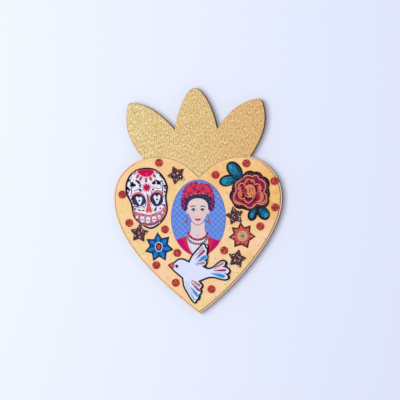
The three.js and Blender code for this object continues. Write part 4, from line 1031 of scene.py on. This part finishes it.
def print_cameo():
    """The cameo: a figure with a crown of roses, necklaces and a red dress; the face is a plain calm one"""
    cameo = partial(printed, "cameo", "cameo_card", "cameo_paper")
    cameo("dress_magenta", 1, "dress_magenta", facets=[
        [(-17, -59.7), (-13, -58.4), (-11.8, -61.1), (-10.3, -64.5), (-8.5, -67.5), (-6.5, -70.1),
         (-9.7, -68.2), (-12.4, -66), (-14.9, -63)],
        [(11.1, -58.9), (15.9, -60.4), (14.2, -63), (11.7, -66), (9, -68.2), (5.9, -70.1), (7.6, -68.2),
         (9.2, -66), (10.6, -62.2)],
    ])
    cameo("dress_red", 2, "dress_red", facets=[
        [(-13, -58.4), (-9.6, -57.1), (-8.9, -60.8), (-7.8, -64.9), (-6.2, -68.2), (-3.9, -70.9),
         (-6.5, -70.1), (-8.5, -67.5), (-10.3, -64.5), (-11.8, -61.1)],
        [(6.9, -57.4), (11.1, -58.9), (10.6, -62.2), (9.2, -66), (7.6, -68.2), (5.9, -70.1), (3.1, -71),
         (6, -67.5), (6.9, -63)],
    ])
    cameo("blouse", 1, "blouse_pale", facets=[
        [(-9.6, -57.2), (-6.8, -54), (5.4, -54), (6.9, -57.6), (6.9, -63), (6, -67.5), (3.1, -71),
         (-0.4, -71.3), (-3.9, -70.9), (-6.2, -68.2), (-7.8, -64.9), (-8.9, -60.8)],
    ])
    cameo("blouse_folds", 2, "feather_grey", lines=[
        (0.26, [(-8, -60.8), (-6.5, -65.2), (-4.2, -69.8)]),
        (0.23, [(5.9, -60.8), (5.4, -64.5), (4.2, -67.5)]),
    ])
    cameo("neck", 2, "skin", patches=[
        [(-5.4, -45.8), (-0.8, -43.5), (3.7, -45.8), (4.7, -51), (5.3, -55.5), (3.4, -58.6), (-0.4, -59.9),
         (-4.5, -58.8), (-6.8, -55.6), (-6.3, -51)],
    ])
    cameo("neck_shade", 3, "skin_shade", patches=[
        [(-5, -45.8), (-0.7, -44.7), (3.4, -45.8), (3.4, -47.9), (1.8, -49.2), (-0.7, -49.8), (-3.2, -49.2),
         (-5, -47.9)],
    ])
    cameo("neck_lines", 3, "line_soft", lines=[
        (0.38, [(-6.5, -48), (-6.4, -52.1), (-7, -55.2)], [(4.6, -48), (4.7, -52.1), (5.5, -55.1)]),
        (0.23, [(-1.9, -55.6), (-1, -57.1), (-0.1, -55.6)]),
    ])
    cameo("collar_band", 4, "bead_grey", lines=[
        (1.81, [(-9.1, -57.3), (-8, -59.6), (-6.2, -61.4), (-3.6, -62.6), (-0.5, -63), (2.5, -62.6),
          (4.6, -61.1), (6, -59.1), (6.6, -57.3)]),
    ])
    cameo("collar_beads", 5, "bead_green", ovals=[
        (-8.9, -57.4, 0.76, 0.83), (-8.1, -58.9, 0.76, 0.83), (-7, -60.4, 0.83, 0.76),
        (-5.6, -61.5, 0.83, 0.76), (-3.9, -62.3, 0.83, 0.76), (-2.1, -62.7, 0.83, 0.76),
        (-0.3, -62.9, 0.83, 0.76), (1.4, -62.6, 0.83, 0.76), (3.1, -61.9, 0.83, 0.76),
        (4.5, -60.9, 0.83, 0.76), (5.6, -59.5, 0.76, 0.83), (6.3, -57.9, 0.76, 0.83),
    ])
    cameo("collar_lights", 6, "blouse_pale", ovals=[
        (-7.6, -59.9, 0.26, 0.3), (-4.8, -62, 0.26, 0.3), (-1.2, -62.9, 0.26, 0.3), (2.3, -62.3, 0.26, 0.3),
        (5, -60.3, 0.26, 0.3), (-8.7, -58.4, 0.23, 0.3), (-6.3, -61.1, 0.26, 0.3), (-3, -62.6, 0.26, 0.3),
        (0.5, -62.8, 0.26, 0.3), (3.8, -61.5, 0.26, 0.3),
    ])
    cameo("necklace_band", 4, "bead_wine", lines=[
        (1.28, [(-8.4, -54.4), (-7.6, -56.4), (-6, -58.2), (-3.6, -59.5), (-0.7, -59.9), (2.2, -59.5),
          (4.6, -58.2), (6, -56.6), (6.6, -54.6)]),
    ])
    cameo("necklace", 5, "bead_magenta", ovals=[
        (-8.2, -54.8, 0.98, 1.06), (-7.4, -56.4, 0.98), (-6.1, -57.8, 0.98), (-4.5, -58.8, 0.98),
        (-2.7, -59.5, 0.98), (-0.7, -59.7, 0.98), (1.2, -59.5, 0.98), (3, -58.8, 0.98), (4.6, -57.8, 0.98),
        (5.8, -56.4, 0.98), (6.5, -54.8, 0.98, 1.06),
    ])
    cameo("necklace_lights", 6, "petal_pink", ovals=[
        (-7.6, -56.1, 0.26), (-4.6, -58.5, 0.26), (-0.8, -59.4, 0.26), (2.9, -58.5, 0.26), (5.6, -56.1, 0.26),
    ])
    cameo("hair", 3, "hair_dark", patches=[
        [(-13.3, -29.2), (-13.6, -32.7), (-12.7, -36.3), (-11, -37.8), (-8.9, -37.2), (-8.3, -33.8),
         (-6, -30.4), (-0.8, -28.8), (4.5, -30.4), (6.8, -33.8), (7.4, -37.2), (9.4, -37.8), (11.2, -36.1),
         (11.9, -32.6), (11.7, -29.1), (9.7, -25.9), (4.6, -23.9), (-0.7, -23.2), (-6.3, -23.9),
         (-11, -26.1)],
    ])
    cameo("ears", 2, "skin_shade", ovals=[(-8.9, -38.9, 0.83, 1.81), (7.4, -38.9, 0.83, 1.81)])
    cameo("face", 4, "skin", patches=[
        [(-8.5, -34.2), (-8.4, -37.8), (-7.5, -41.4), (-5.9, -44.7), (-3.5, -47.3), (-0.8, -48.4), (2, -47.3),
         (4.3, -44.7), (6, -41.4), (6.9, -37.8), (6.9, -34.2), (5.6, -31.2), (2.8, -29.3), (-0.8, -28.7),
         (-4.3, -29.3), (-7.1, -31.2)],
    ])
    cameo("cheeks", 5, "skin_blush", ovals=[(-5.6, -41.7, 1.74, 1.43), (4, -41.7, 1.74, 1.43)])
    cameo("eyes", 5, "eye_white", patches=[
        [(-5.9, -37.5), (-5.1, -36.9), (-4.2, -36.7), (-3.3, -36.9), (-2.5, -37.5), (-3.3, -37.9),
         (-4.2, -38.1), (-5.1, -37.9)],
        [(1, -37.5), (1.8, -36.9), (2.7, -36.7), (3.6, -36.9), (4.3, -37.5), (3.6, -37.9), (2.7, -38.1),
         (1.8, -37.9)],
    ])
    cameo("irises", 6, "iris_brown", ovals=[(-4.2, -37.4, 0.87, 0.83), (2.7, -37.4, 0.87, 0.83)])
    cameo("pupils", 7, "line_black", ovals=[(-4.2, -37.4, 0.45), (2.7, -37.4, 0.45)])
    cameo("lids", 8, "hair_dark", lines=[
        (0.6, [(-6.2, -37.6), (-5.2, -36.8), (-4.2, -36.4), (-3.2, -36.8), (-2.2, -37.6)],
         [(0.7, -37.6), (1.7, -36.8), (2.7, -36.4), (3.7, -36.8), (4.6, -37.6)]),
        (0.72, [(-6.5, -35.4), (-5.2, -34.6), (-3.8, -34.5), (-2.5, -35)],
         [(1, -35), (2.3, -34.5), (3.7, -34.6), (5, -35.4)]),
    ])
    cameo("lower_lids", 6, "line_soft", lines=[
        (0.23, [(-5.6, -38.1), (-4.2, -38.5), (-2.8, -38.1)], [(1.3, -38.1), (2.7, -38.5), (4, -38.1)]),
    ])
    cameo("nose", 5, "skin_line", lines=[
        (0.3, [(-1.9, -41.6), (-1.4, -42.1), (-0.8, -42.2), (-0.2, -42.1), (0.4, -41.6)]),
        (0.23, [(-1.5, -36.6), (-1.4, -38.7), (-1.7, -40.5)], [(-1.8, -46.7), (-0.8, -47), (0.2, -46.7)]),
    ])
    cameo("jaw_line", 5, "line_soft", lines=[
        (0.3, [(-8.1, -39), (-7.2, -42.1), (-5.6, -45.1), (-3.3, -47.6), (-0.8, -48.5), (1.8, -47.6),
          (4, -45.1), (5.7, -42.1), (6.6, -39)]),
    ])
    cameo("lips", 6, "lip_rose", patches=[
        [(-3.2, -44.5), (-2, -43.7), (-0.8, -44), (0.5, -43.7), (1.7, -44.5), (0.6, -45.4), (-0.8, -45.8),
         (-2.1, -45.4)],
    ])
    cameo("lip_line", 7, "bead_wine", lines=[
        (0.21, [(-3, -44.5), (-1.8, -44.6), (-0.8, -44.6), (0.3, -44.6), (1.4, -44.5)]),
    ])
    cameo("hair_strands", 5, "hair_light", lines=[
        (0.3, [(-10.9, -35.7), (-10.7, -31.9), (-8.6, -28.8), (-5, -27), (-0.7, -26.6)],
         [(9.2, -35.7), (9.2, -31.9), (7.1, -28.8), (3.4, -27), (-0.7, -26.7)],
         [(-9.5, -35.6), (-9.1, -32.1), (-6.6, -29.4), (-3.3, -28.1)],
         [(8, -35.6), (7.5, -32.1), (5.1, -29.4), (1.8, -28.1)]),
    ])
    cameo("braids", 5, "braid_plum", patches=[
        [(-12.7, -27.8), (-13.5, -30.8), (-13.3, -34.2), (-12.3, -37.1), (-10.4, -38.2), (-9.4, -36.8),
         (-9.7, -33.4), (-9.8, -30.3), (-10.4, -27.8)],
        [(11.2, -27.8), (12, -30.8), (11.9, -34.2), (10.7, -37.2), (8.9, -38.4), (7.8, -36.8), (8.1, -33.4),
         (8.3, -30.3), (8.9, -27.8)],
    ])
    cameo("ribbons", 6, "braid_pink", ovals=[
        (-12.2, -29.6, 0.6, 1.06, -35), (-10.9, -31.1, 0.53, 0.91, 35), (-12.3, -32.6, 0.6, 1.06, -35),
        (-11, -34.2, 0.53, 0.91, 35), (-11.7, -36, 0.6, 0.98, -35), (10.7, -29.6, 0.6, 1.06, 35),
        (9.4, -31.1, 0.53, 0.91, -35), (10.9, -32.6, 0.6, 1.06, 35), (9.5, -34.2, 0.53, 0.91, -35),
        (10.2, -36, 0.6, 0.98, 35),
    ])
    cameo("crown", 7, "crown_crimson", patches=[
        [(-12.9, -28.5), (-12.7, -25.5), (-11.7, -22.2), (-9.4, -19.1), (-6.5, -17.4), (-4, -16.5),
         (-1.6, -16.4), (0.1, -17.6), (2.4, -17.4), (5, -17.6), (7.2, -18.4), (9.5, -20.7), (11, -24.3),
         (11.5, -28.5), (9.8, -28.5), (7.1, -26.1), (3.4, -25.4), (-0.2, -25.6), (-3.9, -25.5), (-7.1, -26.9),
         (-10.4, -28.9)],
    ])
    cameo("crown_sides", 8, "crown_magenta", patches=[
        [(-12.7, -28.1), (-12.6, -25.5), (-11.5, -22.5), (-9.8, -20.4), (-9.7, -22.9), (-10.7, -25.5),
         (-10.9, -28.2)],
        [(11.3, -28.1), (10.9, -24.8), (9.7, -21.4), (8, -19.4), (7.6, -21.3), (9.1, -24.3), (9.7, -27.8)],
    ])
    cameo("roses", 9, "crown_rose", ovals=[
        (-7.2, -22.1, 2.79, 2.63), (-0.4, -20.2, 2.79, 2.63), (6.5, -22.1, 2.64, 2.48),
        (-9.8, -25.8, 1.74, 1.63), (-3.3, -24.3, 1.81, 1.71), (3, -24.1, 1.81, 1.71),
        (8.8, -26.1, 1.43, 1.35), (-4, -18.6, 1.66, 1.56), (3.6, -18.9, 1.59, 1.49),
    ])
    cameo("rose_glow", 10, "nose_coral", lines=[
        (0.45, [(-8.6, -20.9), (-8, -20.5), (-7.2, -20.3), (-6.5, -20.5), (-5.9, -20.9)]),
        (0.38, [(-6.8, -22.6), (-7.4, -22.7), (-7.8, -22.4), (-7.9, -21.8)]),
        (0.45, [(1.3, -19.6), (1.4, -20.4), (1.1, -21.1), (0.6, -21.7), (-0.1, -22)]),
        (0.38, [(-1.1, -20.4), (-0.9, -19.8), (-0.4, -19.6), (0.2, -19.8)]),
        (0.45, [(6.5, -23.7), (5.8, -23.6), (5.2, -23.1), (4.9, -22.5), (4.9, -21.8)]),
        (0.38, [(6.6, -21.4), (7.1, -21.8), (7.1, -22.3), (6.7, -22.6)]),
        (0.45, [(-9.7, -24.8), (-9.2, -24.9), (-8.9, -25.3), (-8.8, -25.7), (-8.8, -26.2)]),
        (0.38, [(-10, -26.2), (-10.2, -25.9), (-10.2, -25.6), (-9.9, -25.4)]),
        (0.45, [(-2.4, -25.1), (-2.8, -25.3), (-3.3, -25.4), (-3.7, -25.3), (-4.1, -25.1)]),
        (0.38, [(-3.6, -23.9), (-3.2, -23.9), (-2.9, -24.1), (-2.8, -24.4)]),
        (0.45, [(1.9, -24.5), (1.8, -24.1), (2, -23.6), (2.3, -23.2), (2.7, -23)]),
        (0.38, [(3.4, -24.1), (3.4, -24.4), (3, -24.6), (2.6, -24.4)]),
        (0.45, [(8.1, -25.4), (8.5, -25.3), (8.9, -25.2), (9.3, -25.4), (9.5, -25.6)]),
        (0.38, [(8.9, -26.4), (8.6, -26.4), (8.5, -26.2), (8.5, -25.9)]),
        (0.45, [(-4.7, -19.4), (-5, -19.1), (-5.1, -18.6), (-5, -18.1), (-4.7, -17.9)]),
        (0.38, [(-3.7, -18.3), (-3.7, -18.7), (-3.8, -19), (-4.2, -19)]),
        (0.45, [(3.4, -17.9), (3.8, -17.9), (4.2, -18.1), (4.5, -18.4), (4.6, -18.9)]),
        (0.38, [(3.6, -19.3), (3.3, -19.1), (3.2, -18.8), (3.4, -18.5)]),
    ])
    cameo("rose_folds", 10, "crown_wine", lines=[
        (0.42, [(-5.1, -22.8), (-5.9, -23.8), (-7, -24.2), (-8.3, -24), (-9.2, -23.2)]),
        (0.38, [(-8.6, -21.8), (-8.1, -21), (-7.2, -20.7), (-6.3, -21), (-5.9, -21.8)]),
        (0.42, [(-2.1, -21.7), (-2.6, -20.6), (-2.4, -19.3), (-1.6, -18.4), (-0.4, -18)]),
        (0.38, [(0.5, -19.2), (1, -20), (0.8, -20.9), (0.1, -21.5), (-0.8, -21.5)]),
        (0.42, [(5.7, -20.1), (6.9, -20), (8, -20.6), (8.5, -21.6), (8.5, -22.8)]),
        (0.38, [(7.2, -23.2), (6.2, -23.3), (5.5, -22.9), (5.2, -22.1), (5.5, -21.2)]),
        (0.42, [(-9.6, -27.1), (-10.4, -27.1), (-11, -26.6), (-11.2, -25.9), (-11, -25.1)]),
        (0.38, [(-10.1, -25), (-9.5, -25), (-9.1, -25.4), (-9, -25.9), (-9.3, -26.5)]),
        (0.42, [(-4.6, -23.8), (-4.2, -23.2), (-3.4, -22.9), (-2.6, -23), (-2, -23.6)]),
        (0.38, [(-2.4, -24.4), (-2.7, -25), (-3.3, -25.2), (-3.9, -25), (-4.2, -24.4)]),
        (0.42, [(4.1, -23.2), (4.4, -23.9), (4.3, -24.8), (3.7, -25.4), (3, -25.6)]),
        (0.38, [(2.4, -24.8), (2.1, -24.3), (2.2, -23.7), (2.7, -23.3), (3.3, -23.3)]),
        (0.42, [(9.7, -26.7), (9.3, -27.1), (8.7, -27.2), (8.1, -27), (7.7, -26.5)]),
        (0.38, [(8.1, -25.9), (8.4, -25.5), (8.9, -25.4), (9.3, -25.6), (9.4, -26.1)]),
        (0.42, [(-3.6, -17.3), (-3, -17.8), (-2.7, -18.4), (-2.8, -19.2), (-3.4, -19.7)]),
        (0.38, [(-4.2, -19.4), (-4.6, -19.1), (-4.9, -18.6), (-4.6, -18.1), (-4.2, -17.8)]),
        (0.42, [(4.2, -20), (3.5, -20.2), (2.8, -19.9), (2.4, -19.4), (2.3, -18.7)]),
        (0.38, [(3, -18.3), (3.6, -18.1), (4.1, -18.3), (4.3, -18.8), (4.3, -19.3)]),
    ])
    cameo("crown_gaps", 10, "crown_wine", ovals=[
        (-3.7, -21.6, 0.45, 0.68), (3, -21.6, 0.45, 0.68), (-6.2, -25.8, 0.6, 0.38, -20),
        (-0.2, -24.4, 0.6, 0.45), (6, -25.5, 0.53, 0.38, 30), (-10.1, -22.9, 0.38, 0.68, 30),
        (9.4, -23.1, 0.38, 0.68, -30),
    ])
    cameo("rose_lights", 12, "petal_pink", ovals=[
        (-11.8, -25.1, 0.38, 0.3, 40), (-6.3, -26.2, 0.45, 0.3, -30), (-3.3, -25.1, 0.38, 0.3),
        (-11, -22.1, 0.38, 0.26, 40), (5.7, -19.9, 0.45, 0.26, -30), (10.1, -24.3, 0.38, 0.3, 30),
        (10.4, -27.1, 0.38, 0.3, -40), (-7.5, -18.9, 0.38, 0.26),
    ])
    cameo("crown_sprigs", 12, "bead_grey", ovals=[
        (-5.3, -26.2, 0.45, 0.38), (-1.9, -25.4, 0.45, 0.38), (0.5, -25.2, 0.53, 0.45),
        (3.6, -25.1, 0.53, 0.45), (5.6, -25.8, 0.38), (-8.8, -27.6, 0.38), (-12, -27.3, 0.38),
        (7.7, -27, 0.38),
    ])
    cameo("earrings", 5, "bead_magenta", ovals=[(-9.4, -46.5, 1.13, 1.28), (7.5, -46.5, 1.06, 1.28)])
    cameo("earring_lights", 6, "petal_pink", ovals=[(-9.2, -46.8, 0.42, 0.45), (7.5, -46.8, 0.38, 0.45)])
    cameo("earring_chains", 5, "bead_green", lines=[
        (0.34, [(-9.1, -40.5), (-9.2, -42.8), (-9.4, -45.3)], [(7.5, -40.5), (7.5, -42.8), (7.5, -45.3)]),
    ])


def print_cards():
    """The printed face of the heart, with small gold specks on it"""
    ground("heart_face", "heart_card", "heart_peach", margin=0.42)
    heart = partial(printed, "heart", "heart_card", "heart_card")
    heart("specks", 2, "speck_gold", ovals=[
        (53.2, -9.4, 0.57), (57.9, -25.9, 0.53, 0.6), (56.8, -43.7, 0.6, 0.53), (36.2, -44.9, 0.6),
        (45, -63.9, 0.57, 0.6), (41, -72.4, 0.6, 0.53), (21.2, -24.3, 0.6, 0.57), (22.6, -35.9, 0.53, 0.6),
        (24.8, -16.4, 0.38, 0.45), (17.9, -9.4, 0.45), (22.3, -25.5, 0.38), (-6.3, -12.9, 0.45),
        (-18.7, -22.6, 0.45), (-23.4, -33.8, 0.45), (-21.7, -54.4, 0.45), (12.4, -73.7, 0.53),
        (20, -93.3, 0.53), (12.3, -102.3, 0.53, 0.45), (3.1, -109.4, 0.45), (-14.1, -102.9, 0.45),
        (-23.8, -88.8, 0.45), (-42.1, -70.4, 0.53), (-59.2, -38.7, 0.45), (-56.7, -18, 0.45),
        (-46.7, -4.4, 0.45), (-37.7, -0.8, 0.38), (43.5, -3.6, 0.53), (18.8, -3.4, 0.45), (50, -59.4, 0.53),
        (17.9, -83.1, 0.45), (7.4, -76.5, 0.45), (10.6, -77, 0.38), (-11.2, -76.8, 0.38), (-22, -74.7, 0.45),
        (-49.4, -59.6, 0.45), (-54, -54.4, 0.38), (-23.5, -12.4, 0.38), (-21.2, -5.2, 0.38),
        (-11, -6.3, 0.38), (56.4, -34.9, 0.38), (31.8, -47.1, 0.38), (23.1, -52.1, 0.45), (23.4, -63, 0.38),
        (-9.8, -95.5, 0.38), (-24.6, -96, 0.38), (29.5, -84.3, 0.45), (36.9, -3.9, 0.38), (59.3, -17.7, 0.38),
    ])


def flakes(name, node, finish, slot, spacing, size, seed):
    """Foil chips strewn over a glitter shape, each leaning its own way, half sunk in the glue"""
    chance = random.Random(seed)
    low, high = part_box(node)
    face = low.y
    towards_wall = Vector((0, 1, 0))
    chips = bmesh.new()
    rows = int((high.z - low.z) / (spacing * MM)) + 1
    columns = int((high.x - low.x) / (spacing * MM)) + 1
    for row in range(rows):
        for column in range(columns):
            x = low.x + (column + chance.uniform(-0.5, 1.1)) * spacing * MM
            z = low.z + (row + chance.uniform(-0.5, 1.1)) * spacing * MM
            reach = size * MM * chance.uniform(0.7, 1.15)
            start = Vector((x, face - well_in_front, z))
            turns = [i * 2 * pi / chip_sides for i in range(chip_sides)]
            around = [Vector((cos(turn), 0, sin(turn))) * reach for turn in turns]
            if not all(nodes[node].ray_cast(start + step, towards_wall)[0] for step in around):
                continue
            lean_x, lean_z = (chance.uniform(-chip_lean, chip_lean) for _ in range(2))
            top = [chips.verts.new((x + step.x, face - chip_proud - step.x * lean_x - step.z * lean_z,
                                    z + step.z)) for step in around]
            foot = [chips.verts.new((vert.co.x, vert.co.y + chip_depth, vert.co.z)) for vert in top]
            chips.faces.new(top)
            chips.faces.new(foot[::-1])
            for i in range(chip_sides):
                after = (i + 1) % chip_sides
                chips.faces.new((top[i], foot[i], foot[after], top[after]))
    mesh = bpy.data.meshes.new(name)
    chips.to_mesh(mesh)
    chips.free()
    piece = bpy.data.objects.new(name, mesh)
    bpy.context.scene.collection.objects.link(piece)
    outward_faces(piece)
    return finished(piece, name, finish)


def strew_glitter():
    # Each glitter shape gets pale chips of painted glint and dark chips of painted shade
    for i in range(1, 5):
        star = partial(flakes, node=f"glitter_star_{i}", slot="brown_glitter")
        star(f"star_{i}_light_flakes", finish="brown_glint_flakes", spacing=2.1, size=0.42, seed=10 + i)
        star(f"star_{i}_dark_flakes", finish="brown_dark_flakes", spacing=1.0, size=0.4, seed=20 + i)
    for i in range(1, 15):
        disc = partial(flakes, node=f"glitter_round_{i:02d}", slot="red_glitter")
        disc(f"round_{i:02d}_light_flakes", finish="red_glint_flakes", spacing=1.6, size=0.4, seed=30 + i)
        disc(f"round_{i:02d}_dark_flakes", finish="red_dark_flakes", spacing=1.2, size=0.44, seed=60 + i)


# Surroundings

def hang_on_wall():
    """A pale plain wall whose colour carries a painted falloff of light, brighter on the left toward the lamp
    and darker on the right. Seen from behind it is clear, so that the plaque's back can be looked at
    """
    nothing_selected()
    bpy.ops.mesh.primitive_plane_add(size=1.0, location=(0, wall_gap, middle_height),
                                     rotation=(from_front, 0, 0))
    wall = bpy.context.object
    wall.name = "wall"
    wall.scale = (wall_size, wall_size, 1)
    bpy.ops.object.transform_apply(location=True, rotation=True, scale=True)
    tree, shader = new_finish("wall_painted_falloff", 0.9, shine=0.1)
    # Painted light falloff: the wall's colour is brighter on the left, toward the lamp, and darker on the
    # right
    paint = blend(tree, span(tree, axes(tree)["X"], -150 * MM, 150 * MM), tone("eff3fa"), tone("e7ebf9"))
    colour(tree, shader, paint)
    clear = put(tree, "ShaderNodeBsdfTransparent")
    away = put(tree, "ShaderNodeNewGeometry").outputs["Backfacing"]
    shadow = put(tree, "ShaderNodeLightPath").outputs["Is Shadow Ray"]
    mixed = put(tree, "ShaderNodeMixShader", {0: sums(tree, "MAXIMUM", away, shadow), 1: shader.outputs[0],
                                              2: clear.outputs[0]})
    tree.links.new(mixed.outputs[0], tree.nodes["Material Output"].inputs["Surface"])
    wall.data.materials.append(finishes["wall_painted_falloff"])


def soft_lamp(name, azimuth, elevation, distance, size, power):
    """A square soft lamp on a circle round the plaque, turned to face it"""
    turn, rise = radians(azimuth), radians(elevation)
    back = Vector((sin(turn) * cos(rise), -cos(turn) * cos(rise), sin(rise)))
    middle = Vector((0, 0, middle_height))
    bpy.ops.object.light_add(type="AREA", location=middle + back * distance)
    lamp = bpy.context.object
    lamp.name = name
    lamp.data.size = size
    lamp.data.energy = power
    lamp.rotation_euler = back.to_track_quat("Z", "Y").to_euler()


def light_scene():
    """A window on the left, a weaker lamp behind, and a studio that looks brighter than it lights"""
    nothing_selected()
    soft_lamp("window_left", azimuth=-18, elevation=4, distance=1.6, size=1.1, power=19.5)
    soft_lamp("behind_left", azimuth=215, elevation=20, distance=1.5, size=0.8, power=9.0)
    world = bpy.data.worlds.new("studio")
    bpy.context.scene.world = world
    world.use_nodes = True
    tree = world.node_tree
    light = tree.nodes["Background"]
    light.inputs["Color"].default_value = tone("e6ecff")
    light.inputs["Strength"].default_value = 0.44
    seen = put(tree, "ShaderNodeBackground", {"Color": tone("e8eefb"), "Strength": 1.0})
    path = put(tree, "ShaderNodeLightPath").outputs
    reflected = sums(tree, "MAXIMUM", path["Is Glossy Ray"], path["Is Transmission Ray"])
    share = sums(tree, "MAXIMUM", path["Is Camera Ray"], reflected)
    mixed = put(tree, "ShaderNodeMixShader", {0: share, 1: light.outputs[0], 2: seen.outputs[0]})
    tree.links.new(mixed.outputs[0], tree.nodes["World Output"].inputs["Surface"])


def aim_camera():
    """A long lens, ten degrees round to the right and level with the plaque"""
    turn = radians(10)
    distance = 2.4
    field = 300 * MM
    sensor = 36
    target = Vector((0.84, -7, -30)) * MM
    back = Vector((sin(turn), -cos(turn), 0))
    bpy.ops.object.camera_add(location=target + back * distance)
    camera = bpy.context.object
    camera.data.sensor_width = sensor
    camera.data.lens = sensor * distance / field
    camera.rotation_euler = back.to_track_quat("Z", "Y").to_euler()
    bpy.context.scene.camera = camera


make_finishes()
dress_nodes()
print_cards()
print_cameo()
print_skull()
print_rose()
print_dove()
print_star_flowers()
strew_glitter()
hang_on_wall()
light_scene()
aim_camera()
bpy.context.scene.view_settings.view_transform = "Standard"
